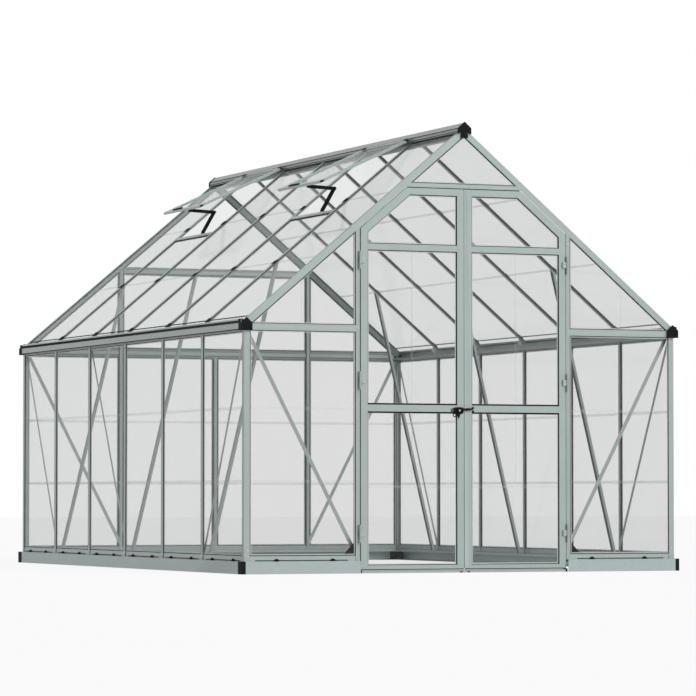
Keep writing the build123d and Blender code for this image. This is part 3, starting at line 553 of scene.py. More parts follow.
class Bench:
    """One new piece: added as a primitive, shaped in edit mode, then laid in its place."""

    def __init__(self, name: str) -> None:
        """Names the piece.

        Args:
            name: The piece's name.
        """
        self.name = name
        self.piece: bpy.types.Object = None

    def _hold(self) -> "Bench":
        """Takes the newest primitive as the piece and applies its place."""
        self.piece = bpy.context.active_object
        self.piece.name = self.name
        self.piece.data.name = self.name
        bpy.ops.object.transform_apply(location=True, rotation=True, scale=True)
        return self

    def block(self, low: Iterable[float], high: Iterable[float]) -> "Bench":
        """Starts from a cube stretched between two corners.

        Args:
            low: The lowest corner.
            high: The highest corner.

        Returns:
            This bench.
        """
        a, b = Vector(low), Vector(high)
        bpy.ops.object.select_all(action="DESELECT")
        bpy.ops.mesh.primitive_cube_add(size=1.0, location=(a + b) / 2)
        bpy.context.active_object.scale = b - a
        return self._hold()

    def disc(self, radius: float, depth: float, sides: int) -> "Bench":
        """Starts from a cylinder that stands on Z = 0.

        Args:
            radius: Its radius.
            depth: Its height.
            sides: How many sides it has.

        Returns:
            This bench.
        """
        bpy.ops.object.select_all(action="DESELECT")
        middle = (0, 0, depth / 2)
        bpy.ops.mesh.primitive_cylinder_add(vertices=sides, radius=radius, depth=depth, location=middle)
        return self._hold()

    def ring(self, radius: float, wire: float, sides: int = 20) -> "Bench":
        """Starts from a wire ring that lies in the XY plane.

        Args:
            radius: The ring's radius, to the middle of its wire.
            wire: The wire's radius.
            sides: How many sides the ring has.

        Returns:
            This bench.
        """
        bpy.ops.object.select_all(action="DESELECT")
        bpy.ops.mesh.primitive_torus_add(
            major_radius=radius, minor_radius=wire, major_segments=sides, minor_segments=8
        )
        return self._hold()

    def outline(self, points: Points) -> "Bench":
        """Starts from a flat face whose corners are moved to the outline.

        Args:
            points: The outline's corners, counter-clockwise.

        Returns:
            This bench.
        """
        bpy.ops.object.select_all(action="DESELECT")
        bpy.ops.mesh.primitive_circle_add(vertices=len(points), radius=1.0, fill_type="NGON")
        self._hold()
        ring = self.piece.data.polygons[0].vertices
        for index, (x, y) in zip(ring, points):
            self.piece.data.vertices[index].co = (x, y, 0.0)
        return self

    def pick(self, test: Callable[[Vector, Vector], bool]) -> "Bench":
        """Selects faces in edit mode.

        Args:
            test: Takes a face's centre and normal, and says whether it is picked.

        Returns:
            This bench.
        """
        bpy.ops.object.mode_set(mode="EDIT")
        bpy.ops.mesh.select_mode(type="FACE")
        mesh = bmesh.from_edit_mesh(self.piece.data)
        for face in mesh.faces:
            face.select_set(test(face.calc_center_median(), face.normal))
        mesh.select_flush_mode()
        bmesh.update_edit_mesh(self.piece.data)
        return self

    def inset(self, width: float, depth: float = 0.0) -> "Bench":
        """Insets the picked faces."""
        bpy.ops.mesh.inset(thickness=width, depth=depth, use_even_offset=True)
        return self

    def draw_out(self, x: float = 0.0, y: float = 0.0, z: float = 0.0) -> "Bench":
        """Extrudes the picked faces by a move."""
        bpy.ops.mesh.extrude_region_move(TRANSFORM_OT_translate={"value": (x, y, z)})
        return self

    def drop(self) -> "Bench":
        """Deletes the picked faces."""
        bpy.ops.mesh.delete(type="FACE")
        return self

    def outward(self) -> "Bench":
        """Turns every face outward."""
        bpy.ops.mesh.select_all(action="SELECT")
        bpy.ops.mesh.normals_make_consistent(inside=False)
        return self

    def rimmed(self, width: float, depth: float) -> "Bench":
        """Insets the faces that look out along Z, which leaves a rim."""
        return self.pick(facing_out).inset(width, depth)

    def raised(self, depth: float) -> "Bench":
        """Gives a flat outline its depth."""
        return self.pick(every_face).draw_out(z=depth).outward()

    def edited(self) -> "Bench":
        """Opens edit mode again, with everything selected."""
        self.rest()
        bpy.ops.object.mode_set(mode="EDIT")
        bpy.ops.mesh.select_all(action="SELECT")
        return self

    def rounded(self, width: float, segments: int = 2) -> "Bench":
        """Finishes the whole piece with a bevel modifier on its sharp edges.

        Args:
            width: The bevel's width.
            segments: How many faces round each edge.

        Returns:
            This bench.
        """
        self.rest()
        made = self.piece.modifiers.new("Edges", "BEVEL")
        made.width = width
        made.segments = segments
        made.limit_method = "ANGLE"
        bpy.ops.object.modifier_apply(modifier=made.name)
        return self

    def rest(self) -> "Bench":
        """Goes back to object mode with only this piece selected."""
        if self.piece.mode == "EDIT":
            bpy.ops.object.mode_set(mode="OBJECT")
        bpy.ops.object.select_all(action="DESELECT")
        self.piece.select_set(True)
        bpy.context.view_layer.objects.active = self.piece
        return self

    def laid(self, place: Matrix | None = None, smooth: float = 35.0) -> bpy.types.Object:
        """Ends the piece: smooth shading, and its place in its mesh.

        Args:
            place: Where the piece goes.
            smooth: The angle under which edges are smooth, in degrees.

        Returns:
            The finished piece.
        """
        self.rest()
        bpy.ops.object.shade_smooth_by_angle(angle=math.radians(smooth))
        if place is not None:
            self.piece.data.transform(place)
        return self.piece


def copies(template: bpy.types.Object, places: Iterable[Matrix], name: str) -> bpy.types.Object:
    """Copies a finished piece to many places and joins them.

    Args:
        template: The piece, at the origin; it is removed.
        places: Where the copies go.
        name: The joined piece's name.

    Returns:
        The joined piece.
    """
    made = []
    for place in places:
        mesh = template.data.copy()
        mesh.transform(place)
        made.append(bpy.data.objects.new(name, mesh))
        bpy.context.scene.collection.objects.link(made[-1])
    bpy.data.objects.remove(template)
    return joined(made, name)


def joined(pieces: list[bpy.types.Object], name: str) -> bpy.types.Object:
    """Joins pieces into one.

    Args:
        pieces: The pieces, of which the first takes in the others.
        name: The joined piece's name.

    Returns:
        The joined piece.
    """
    bpy.ops.object.select_all(action="DESELECT")
    for piece in pieces:
        piece.select_set(True)
    bpy.context.view_layer.objects.active = pieces[0]
    if len(pieces) > 1:
        bpy.ops.object.join()
    whole = bpy.context.active_object
    whole.name = name
    whole.data.name = name
    return whole


def dress(piece: bpy.types.Object, finish: bpy.types.Material, body: Body) -> bpy.types.Object:
    """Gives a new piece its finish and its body.

    Args:
        piece: The finished mesh.
        finish: Its material.
        body: The body that it rides on.

    Returns:
        The same piece.
    """
    piece.data.materials.clear()
    piece.data.materials.append(finish)
    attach(piece, body.value)
    LOG.info("%s: %d faces", piece.name, len(piece.data.polygons))
    return piece


SEAL_WIDTH = 0.009
SEAL_HEIGHT = 0.0008
GAP_SHADE_GASKET_WIDTH = 0.0032
GAP_SHADE_GASKET_HEIGHT = 0.0041
STRIP_WIDTH = 0.015
STRIP_HEIGHT = 0.0016
STRIP_RIM = 0.0036
STRIP_DISH = 0.0009
WALL_JOINTS = (0.472, 0.845)
LEAF_JOINT = 0.445
ROOF_JOINTS = (0.4067, 0.8133)


def seal(
    points: Points, place: Matrix, width: float = SEAL_WIDTH, height: float = SEAL_HEIGHT
) -> bpy.types.Object:
    """A glazing seal round the inside of an opening.

    Args:
        points: The opening's corners, counter-clockwise, in the place's own X and Y.
        place: The wall or slope that it lies on.
        width: The seal's width.
        height: How proud it stands.

    Returns:
        The finished piece.
    """
    bench = Bench("part").outline(points)
    bench.pick(every_face).inset(width).drop()
    return bench.raised(height).laid(place)


def gap_shade_gasket(points: Points, place: Matrix) -> bpy.types.Object:
    """A narrow black gasket against the bars round an opening, which also stands as painted shade in the gap
    where the pane meets the bars.
    """
    return seal(points, place, GAP_SHADE_GASKET_WIDTH, GAP_SHADE_GASKET_HEIGHT)


def joint_strip(length: float, place: Matrix, width: float = STRIP_WIDTH) -> bpy.types.Object:
    """A clear strip over a pane joint, with a raised rim along its edges.

    Args:
        length: The strip's length, along the place's X.
        place: Its middle, on the pane.
        width: Its width.

    Returns:
        The finished piece.
    """
    half = width / 2
    bench = Bench("part").block((-length / 2, -half, 0.0), (length / 2, half, STRIP_HEIGHT))
    return bench.rimmed(STRIP_RIM, -STRIP_DISH).laid(place)


def screw(radius: float = 0.0042, height: float = 0.0026) -> bpy.types.Object:
    """A pan-head screw with a recess, standing on Z = 0.

    Args:
        radius: The head's radius.
        height: The head's height, without its crown.

    Returns:
        The finished piece.
    """
    bench = Bench("head").disc(radius, height, 16)
    bench.rimmed(radius * 0.3, height * 0.18)
    bench.inset(radius * 0.34, 0.0).inset(radius * 0.05, -height * 0.45)
    return bench.laid()


@dataclass
class WallGlazing:
    """Seals and joint strips of the four walls."""

    finishes: Finishes
    gable_seam: float = 0.913
    strip_end: float = 0.006
    seam_play: float = 0.014
    seam_width: float = 0.009

    def openings(self) -> dict[Wall, list[Points]]:
        """Draws round each glazed opening.

        Returns:
            The outlines of each wall, as run and height.
        """
        h = HOUSE
        low, edge = h.sill_top, h.half_length - h.corner_face
        side = []
        for i in range(6):
            a = -edge if i == 0 else -h.half_length + h.bay * i + h.face_half
            b = edge if i == 5 else -h.half_length + h.bay * (i + 1) - h.face_half
            side.append([(a, low), (b, low), (b, h.gutter_lip), (a, h.gutter_lip)])
        edge = h.half_width - h.corner_face
        back = []
        for a, b in (
            (-edge, -h.bay - h.face_half),
            (-h.bay + h.face_half, -h.face_half),
            (h.face_half, h.bay - h.face_half),
            (h.bay + h.face_half, edge),
        ):
            back.append([(a, low), (b, low), (b, h.back_rail_bottom), (a, h.back_rail_bottom)])
        inner, outer, z = h.bay - h.face_half, h.bay + h.face_half, h.back_rail_top
        back.append([(-inner, z), (inner, z), (inner, h.collar_bottom), (-inner, h.collar_bottom)])
        back.append([(outer, z), (h.rake_x(z), z), (outer, h.rake_z(outer))])
        back.append([(-h.rake_x(z), z), (-outer, z), (-outer, h.rake_z(outer))])
        x = h.rake_x(h.collar_top)
        back.append([(-x, h.collar_top), (x, h.collar_top), (0.0, h.rake_edge)])
        post, z = h.post_outer, h.rail_top
        x = h.rake_x(h.head_top)
        front = [
            [(post, low), (edge, low), (edge, h.gutter_bottom), (post, h.gutter_bottom)],
            [(-edge, low), (-post, low), (-post, h.gutter_bottom), (-edge, h.gutter_bottom)],
            [(post, z), (h.rake_x(z), z), (post, h.rake_z(post))],
            [(-h.rake_x(z), z), (-post, z), (-post, h.rake_z(post))],
            [(-x, h.head_top), (x, h.head_top), (0.0, h.rake_edge)],
        ]
        return {Wall.LEFT: side, Wall.RIGHT: side, Wall.FRONT: front, Wall.BACK: back}

    def strips(self, wall: Wall, outlines: list[Points]) -> list[bpy.types.Object]:
        """Strips over the pane joints of one wall.

        Args:
            wall: The wall.
            outlines: Its openings.

        Returns:
            The finished strips.
        """
        made = []
        for points in outlines:
            runs = [run for run, z in points]
            if min(z for run, z in points) > HOUSE.sill_top:
                continue
            a, b = min(runs) + self.strip_end, max(runs) - self.strip_end
            made += [joint_strip(b - a, wall.place((a + b) / 2, z, HOUSE.pane_front)) for z in WALL_JOINTS]
        if wall is Wall.FRONT:
            low, top = HOUSE.rail_top, HOUSE.rake_z(self.gable_seam)
            for side in (-1, 1):
                middle = wall.place(side * self.gable_seam, (low + top) / 2, HOUSE.pane_front)
                made.append(joint_strip(top - low - self.seam_play, middle @ QUARTER, self.seam_width))
        return made

    def build(self) -> None:
        """Builds and dresses the seals, the gaskets with their painted gap shade, and the strips of each
        wall.
        """
        for wall, outlines in self.openings().items():
            place = wall.place(0.0, 0.0, HOUSE.pane_front)
            name = wall.name.lower()
            seals = [seal(wall.flat(points), place) for points in outlines]
            dress(joined(seals, f"{name}_wall_seals"), self.finishes.seal, Body.BUILDING)
            # The black gaskets also paint the shade of the gap beside the bars.
            lines = [gap_shade_gasket(wall.flat(points), place) for points in outlines]
            dress(joined(lines, f"{name}_wall_gaskets"), self.finishes.black, Body.BUILDING)
            strips = joined(self.strips(wall, outlines), f"{name}_wall_joints")
            dress(strips, self.finishes.strip, Body.BUILDING)


@dataclass
class RoofGlazing:
    """Seals, joint strips and joint clips of the two slopes."""

    finishes: Finishes
    vent_bays: tuple[int, ...] = (1, 4)
    ridge_x: float = 0.036
    eave_x: float = 1.19
    vent_x: float = 0.4925
    rake_face: float = 0.027
    foot_x: float = 1.188
    joint_clear: float = 0.05
    strip_play: float = 0.012

    def bays(self, roof: Roof) -> list[tuple[float, float, float]]:
        """Finds the stretch of each bay's fixed pane.

        Args:
            roof: The slope.

        Returns:
            Each pane's two ends along the greenhouse, and how far out its top is.
        """
        h = HOUSE
        found = []
        for i in range(6):
            y1 = h.half_length - (self.rake_face if i == 0 else h.bay * i + h.face_half)
            y0 = h.half_length - h.bay * (i + 1) + h.face_half if i < 5 else -h.half_length + self.rake_face
            top = self.vent_x if roof is Roof.LEFT and i in self.vent_bays else self.ridge_x
            found.append((y0, y1, top))
        return found

    def build(self) -> None:
        """Builds and dresses both slopes."""
        steep = math.cos(math.radians(HOUSE.pitch))
        clips = []
        for roof in Roof:
            seals, strips, lines = [], [], []
            for y0, y1, top in self.bays(roof):
                half, length = (y1 - y0) / 2, (self.eave_x - top) / steep
                place = roof.place(self.eave_x, (y0 + y1) / 2, HOUSE.pane_front)
                corners = [(-half, 0.0), (half, 0.0), (half, length), (-half, length)]
                seals.append(seal(corners, place))
                lines.append(gap_shade_gasket(corners, place))
                for x in ROOF_JOINTS:
                    if x > top + self.joint_clear:
                        at = roof.place(x, (y0 + y1) / 2, HOUSE.pane_front)
                        strips.append(joint_strip(2 * half - self.strip_play, at))
            name = roof.name.lower()
            dress(joined(seals, f"{name}_roof_seals"), self.finishes.seal, Body.BUILDING)
            dress(joined(strips, f"{name}_roof_joints"), self.finishes.strip, Body.BUILDING)
            # The black gaskets also paint the shade of the gap beside the rafters.
            dress(joined(lines, f"{name}_roof_gaskets"), self.finishes.black, Body.BUILDING)
            for i in range(1, 6):
                y = HOUSE.half_length - HOUSE.bay * i
                clips += [roof.place(x, y, HOUSE.bar_front) for x in (*ROOF_JOINTS, self.foot_x)]
        saddles = copies(self.joint_clip(), clips, "roof_joint_clips")
        dress(saddles, self.finishes.black, Body.BUILDING)

    @staticmethod
    def joint_clip() -> bpy.types.Object:
        """A small saddle clip over a rafter, with an ear on each side."""
        bench = Bench("clip").block((-0.019, -0.016, 0.0), (0.019, 0.016, 0.0024))
        bench.pick(lambda centre, normal: abs(normal.x) > FACING).draw_out(z=-0.0034)
        return bench.outward().rounded(0.0012).laid()


@dataclass
class LedgeClips:
    """Black half-round clips on the base ledge and pale clips at the feet of the bars."""

    finishes: Finishes
    back_half: tuple[float, ...] = (1.686, 1.394, 1.074, 0.779, 0.476, 0.18)
    front_half: tuple[float, ...] = (-0.139, -0.451, -0.752, -1.061, -1.374, -1.679)
    gable_runs: tuple[float, ...] = (0.74, 1.05)
    back_runs: tuple[float, ...] = (0.15, 0.46, 0.76, 1.05)
    proud: float = 0.0034

    def build(self) -> None:
        """Builds and dresses both kinds of clip."""
        h = HOUSE
        sides = (Wall.LEFT, Wall.RIGHT)
        spots = [(wall, run) for wall in sides for run in (*self.back_half, *self.front_half)]
        spots += [(Wall.FRONT, end * run) for run in self.gable_runs for end in (-1, 1)]
        spots += [(Wall.BACK, end * run) for run in self.back_runs for end in (-1, 1)]
        places = [wall.place(run, h.base_top, self.proud) for wall, run in spots]
        domes = copies(self.half_dome(), places, "ledge_clips")
        dress(domes, self.finishes.black, Body.BUILDING)
        spots = [(wall, h.half_length - h.bay * i) for wall in sides for i in range(1, 6)]
        spots += [(Wall.BACK, run) for run in (-h.bay, 0.0, h.bay)]
        places = [wall.place(run, h.base_top, h.bar_front) for wall, run in spots]
        feet = copies(self.foot_clip(), places, "bar_foot_clips")
        dress(feet, self.finishes.bright, Body.BUILDING)

    @staticmethod
    def half_dome() -> bpy.types.Object:
        """A disc cut in half, with a rounded front and a small pressed middle."""
        bench = Bench("dome").disc(0.0135, 0.007, 28).edited()
        bpy.ops.mesh.bisect(plane_co=(0, 0.0005, 0), plane_no=(0, 1, 0), use_fill=True, clear_inner=True)
        bench.rimmed(0.0022, 0.0012).inset(0.0016, -0.0014)
        return bench.rounded(0.0006).laid()

    @staticmethod
    def foot_clip() -> bpy.types.Object:
        """A pressed plate with a raised rim and one screw at the foot of a bar."""
        bench = Bench("foot").block((-0.012, 0.0, 0.0), (0.012, 0.024, 0.0018))
        plate = bench.rimmed(0.003, -0.0007).rounded(0.0006).laid()
        head = screw(0.004)
        head.data.transform(Matrix.Translation((0.0, 0.013, 0.0011)))
        return joined([plate, head], "foot")


@dataclass
class Fastenings:
    """Screw heads on the outside of the posts and the rafters."""

    finishes: Finishes
    side_levels: tuple[float, ...] = (0.118, 1.205)
    back_levels: tuple[float, ...] = (0.118, 1.262)
    door_post: float = 0.601
    door_post_levels: tuple[float, ...] = (0.168, 1.262, 1.72)
    corner_run: float = 1.208
    corner_levels: tuple[float, ...] = (0.118, 1.21)
    rafter_spots: tuple[float, ...] = (0.06, 0.806, 1.165)

    def wall_screws(self) -> list[Matrix]:
        """Places on the outside of the walls."""
        h = HOUSE
        places = []
        for wall in (Wall.LEFT, Wall.RIGHT):
            for i in range(1, 6):
                places += [wall.place(h.half_length - h.bay * i, z, h.bar_front) for z in self.side_levels]
        rows = (
            (Wall.BACK, h.bay, self.back_levels),
            (Wall.FRONT, self.door_post, self.door_post_levels),
            (Wall.FRONT, self.corner_run, self.corner_levels),
            (Wall.BACK, self.corner_run, self.corner_levels),
        )
        for side in (-1, 1):
            for wall, run, levels in rows:
                places += [wall.place(side * run, z, h.bar_front) for z in levels]
        return places

    def roof_screws(self) -> list[Matrix]:
        """Places on the outside of the rafters."""
        places = []
        for roof in Roof:
            for i in range(1, 6):
                y = HOUSE.half_length - HOUSE.bay * i
                places += [roof.place(x, y, HOUSE.bar_front) for x in self.rafter_spots]
        return places

    def build(self) -> None:
        """Builds and dresses the screws."""
        heads = copies(screw(), self.wall_screws() + self.roof_screws(), "frame_screws")
        dress(heads, self.finishes.bright, Body.BUILDING)


@dataclass
class DoorTrim:
    """Seals, joint strips and seams of the two door leaves."""

    finishes: Finishes
    inner: float = 0.0418
    outer: float = 0.5468
    low: float = 0.0413
    mid_low: float = 0.8327
    mid_high: float = 0.8683
    transom_low: float = 1.6669
    transom_high: float = 1.6995
    top: float = 1.9589
    chamfer: float = 2.2184
    seam: float = 0.296
    lip_height: float = 0.0075
    stile: float = 0.038
    rail: float = 0.020
    sweep_drop: float = 0.0048
    sweep_gap: float = 0.0003
    sweep_depth: float = 0.006
    leaf_front: float = 0.010
    strip_play: float = 0.012
    seam_start: float = 0.008
    seam_play: float = 0.013
    seam_width: float = 0.008
    stop_half: float = 0.322
    stop_drop: tuple[float, float] = (0.0263, 0.0223)
    stop_depth: tuple[float, float] = (-0.006, 0.0045)
    cover_span: tuple[float, float] = (-0.0016, 0.0235)
    cover_foot: float = 0.022
    cover_rise: float = 0.034
    cover_gauge: float = 0.0016
    cover_gap: float = 0.0002

    def build(self) -> None:
        """Builds and dresses both leaves, the strip where they meet and the stop under the head."""
        self.cover_strip()
        self.head_stop()
        place = Wall.FRONT.place(0.0, 0.0, HOUSE.pane_front)
        for side, body in ((-1, Body.DOOR_LEFT), (1, Body.DOOR_RIGHT)):
            outlines = self.openings(side)
            seals = joined([seal(points, place) for points in outlines], f"{body.value}_seals")
            dress(seals, self.finishes.seal, body)
            # The black gaskets also paint the shade of the gap beside the leaf bars; the lips and the sweep
            # go with them.
            lines = [gap_shade_gasket(points, place) for points in outlines] + self.lips(side, place)
            dress(joined(lines, f"{body.value}_gaskets"), self.finishes.black, body)
            dress(joined(self.strips(side), f"{body.value}_joints"), self.finishes.strip, body)

    def ends(self, side: int) -> tuple[float, float]:
        """The two sides of a leaf's panes, from left to right."""
        a, b = sorted((side * self.inner, side * self.outer))
        return a, b

    def openings(self, side: int) -> list[Points]:
        """Draws round the openings of one leaf.

        Args:
            side: -1 for the left leaf, 1 for the right one.

        Returns:
            The lower, the middle and the sloping upper opening, as run and height.
        """
        a, b = self.ends(side)
        outer, low = self.outer, self.chamfer - self.outer * HOUSE.slope
        turn = (self.chamfer - self.top) / HOUSE.slope
        upper = [(self.inner, self.transom_high), (outer, self.transom_high), (outer, low)]
        upper += [(turn, self.top), (self.inner, self.top)]
        if side < 0:
            upper = [(-run, z) for run, z in reversed(upper)]
        spans = ((self.low, self.mid_low), (self.mid_high, self.transom_low))
        return [[(a, z0), (b, z0), (b, z1), (a, z1)] for z0, z1 in spans] + [upper]

    def lips(self, side: int, place: Matrix) -> list[bpy.types.Object]:
        """The lips over and under the middle rail, and the sweep along the leaf's foot.

        Args:
            side: -1 for the left leaf, 1 for the right one.
            place: The front of its panes.

        Returns:
            The finished pieces.
        """
        a, b = self.ends(side)
        made = []
        for z in (self.mid_low - self.lip_height, self.mid_high):
            bench = Bench("part").block((a, z, 0.0), (b, z + self.lip_height, GAP_SHADE_GASKET_HEIGHT))
            made.append(bench.rimmed(0.0016, -0.0012).laid(place))
        foot = self.low - self.rail
        low = (a - self.stile, foot - self.sweep_drop, 0.0)
        high = (b + self.stile, foot - self.sweep_gap, self.sweep_depth)
        made.append(Bench("part").block(low, high).rimmed(0.0012, -0.0008).laid(place))
        return made

    def strips(self, side: int) -> list[bpy.types.Object]:
        """The clear strips over the pane joints of one leaf.

        Args:
            side: -1 for the left leaf, 1 for the right one.

        Returns:
            The finished strips.
        """
        a, b = self.ends(side)
        across = Wall.FRONT.place((a + b) / 2, LEAF_JOINT, HOUSE.pane_front)
        made = [joint_strip(b - a - self.strip_play, across)]
        for z0, z1 in ((LEAF_JOINT + self.seam_start, self.mid_low), (self.mid_high, self.transom_low)):
            at = Wall.FRONT.place(side * self.seam, (z0 + z1) / 2, HOUSE.pane_front)
            made.append(joint_strip(z1 - z0 - self.seam_play, at @ QUARTER, self.seam_width))
        return made

    def cover_strip(self) -> None:
        """The grooved strip down the right leaf that covers the gap between the leaves."""
        x0, x1 = self.cover_span
        bench = Bench("door_cover_strip")
        bench.block((x0, self.cover_foot, 0.0), (x1, self.top + self.cover_rise, self.cover_gauge))
        bench.rimmed(0.0018, 0.0004).inset(0.003, -0.0006)
        strip = bench.rounded(0.0004).laid(Wall.FRONT.place(0.0, 0.0, self.leaf_front + self.cover_gap))
        dress(strip, self.finishes.cover, Body.DOOR_RIGHT)

    def head_stop(self) -> None:
        """A black stop seal under the door head, over the leaves."""
        z0, z1 = (HOUSE.head_top - drop for drop in self.stop_drop)
        back, front = self.stop_depth
        bench = Bench("door_head_stop").block((-self.stop_half, z0, back), (self.stop_half, z1, front))
        stop = bench.rimmed(0.0012, -0.0008).rounded(0.0005).laid(Wall.FRONT.place(0.0, 0.0))
        dress(stop, self.finishes.black, Body.BUILDING)


@dataclass
class BraceBolts:
    """Bolts through the roof struts, the wall straps and the gussets, seen from inside."""

    finishes: Finishes
    strut_foot: float = 1.185
    strut_top: float = 0.806
    strut_half_depth: float = 0.007
    side_depth: float = 0.0089
    front_depth: float = 0.0289
    gusset_back: float = 0.0103
    strap_inset: float = 0.0243
    strap_low: float = 0.1026
    door_post: float = 0.601
    end_margin: float = 0.011
    strut_rows: tuple[float, ...] = (1.22, 0.0, -1.22)
    foot_bolts: tuple[float, ...] = (0.03, 0.055)
    head_bolts: tuple[float, ...] = (0.065, 0.04)
    gusset_bolts: Pairs = ((0.625, 0.105), (0.66, 0.102), (0.622, 0.14))

    def strut_places(self) -> list[Matrix]:
        """Two bolts near each end of each strut, on its outer face."""
        places = []
        for side in (-1, 1):
            for y in self.strut_rows:
                low = Vector((side * self.strut_foot, y, HOUSE.base_top))
                high = Vector((side * self.strut_top, y, HOUSE.apex - self.strut_top * HOUSE.slope))
                along = (high - low).normalized()
                across = Vector((0.0, 1.0, 0.0))
                outward = across.cross(along) if side > 0 else along.cross(across)
                across = along.cross(outward)
                length = (high - low).length
                for at in (*self.foot_bolts, *(length - back for back in self.head_bolts)):
                    origin = low + along * at + outward * self.strut_half_depth
                    places.append(frame_at(origin, across, along, outward))
        return places

    def strap_places(self) -> list[Matrix]:
        """A bolt at each end of each strap, and three on each gusset, facing inward."""
        h = HOUSE
        side, gable = h.half_length - self.strap_inset, h.half_width - self.strap_inset
        lines = [(Wall.LEFT, h.bay, 0.0, self.side_depth)]
        for wall in (Wall.LEFT, Wall.RIGHT):
            lines += [(wall, end * side, end * 2 * h.bay, self.side_depth) for end in (-1, 1)]
        for end in (-1, 1):
            lines.append((Wall.BACK, end * gable, end * h.bay, self.side_depth))
            lines.append((Wall.FRONT, end * gable, end * self.door_post, self.front_depth))
        turned = Matrix.Rotation(math.radians(180), 4, "Y")
        places = []
        for wall, run0, run1, depth in lines:
            high, low = Vector((run0, h.gutter_lip)), Vector((run1, self.strap_low))
            step = (low - high).normalized() * self.end_margin
            for run, z in (high + step, low - step):
                places.append(wall.place(run, z, -depth) @ turned)
        for end in (-1, 1):
            for run, z in self.gusset_bolts:
                places.append(Wall.FRONT.place(end * run, z, -self.gusset_back) @ turned)
        return places

    def build(self) -> None:
        """Builds and dresses the bolts."""
        bolts = copies(self.hex_bolt(), self.strut_places() + self.strap_places(), "brace_bolts")
        dress(bolts, self.finishes.bright, Body.BUILDING)

    @staticmethod
    def hex_bolt() -> bpy.types.Object:
        """A small hexagon head on its washer."""
        base = Bench("bolt").disc(0.0062, 0.0010, 20).rimmed(0.0012, 0.0002).laid()
        top = Bench("head").disc(0.0042, 0.0034, 6).rimmed(0.0008, 0.0004).laid()
        top.data.transform(Matrix.Translation((0.0, 0.0, 0.0008)))
        return joined([base, top], "bolt")


@dataclass
class EdgeShadowStrips:
    """Black strips of painted shade: in the slot over the base ledge, and along the lower edges of the gable
    rakes.
    """

    finishes: Finishes
    slot_low: float = 0.0664
    slot_high: float = 0.0706
    slot_end: float = 0.055
    slot_gauge: float = 0.0010
    sill_front: float = 0.0033
    doorway: float = 0.60
    front_spans: Pairs = ((0.012, 0.292), (0.622, 1.18))
    back_spans: Pairs = ((0.012, 0.585), (0.635, 1.165))
    rake_width: float = 0.0052
    rake_gauge: float = 0.0022

    def ledge_strips(self) -> list[bpy.types.Object]:
        """A black strip of painted shade in the slot in each bay, between the feet of the bars."""
        h = HOUSE
        sides = [(-h.half_length + h.bay * i, -h.half_length + h.bay * (i + 1)) for i in range(6)]
        back = [(-h.half_width + h.bay * i, -h.half_width + h.bay * (i + 1)) for i in range(4)]
        front = [(-h.half_width, -self.doorway), (self.doorway, h.half_width)]
        runs = {Wall.LEFT: sides, Wall.RIGHT: sides, Wall.BACK: back, Wall.FRONT: front}
        high = self.slot_high - self.slot_low
        made = []
        for wall, bays in runs.items():
            for a, b in bays:
                half = (b - a) / 2 - self.slot_end
                bench = Bench("part").block((-half, 0.0, 0.0), (half, high, self.slot_gauge))
                place = wall.place((a + b) / 2, self.slot_low, self.sill_front)
                made.append(bench.rimmed(0.0012, -0.0006).laid(place))
        return made

    def rake_strips(self) -> list[bpy.types.Object]:
        """A black strip of painted shadow along each glazed stretch under the rakes."""
        turn = math.radians(HOUSE.pitch)
        made = []
        for wall, spans in ((Wall.FRONT, self.front_spans), (Wall.BACK, self.back_spans)):
            for side in (-1, 1):
                for x0, x1 in spans:
                    half, x = (x1 - x0) / math.cos(turn) / 2, (x0 + x1) / 2
                    middle = wall.place(side * x, HOUSE.rake_z(x), HOUSE.pane_front)
                    lean = turn * side * (1.0 if wall is Wall.BACK else -1.0)
                    low, high = (-half, -self.rake_width, 0.0), (half, 0.0, self.rake_gauge)
                    bench = Bench("part").block(low, high).rimmed(0.0014, 0.0006)
                    made.append(bench.laid(middle @ Matrix.Rotation(lean, 4, "Z")))
        return made

    def build(self) -> None:
        """Builds and dresses both kinds of painted shade strip."""
        # Black strips that paint the shade in the ledge slot.
        dress(joined(self.ledge_strips(), "ledge_slot_shade"), self.finishes.black, Body.BUILDING)
        # Black strips of painted shadow along the rakes' lower edges.
        dress(joined(self.rake_strips(), "rake_shadow_strips"), self.finishes.black, Body.BUILDING)


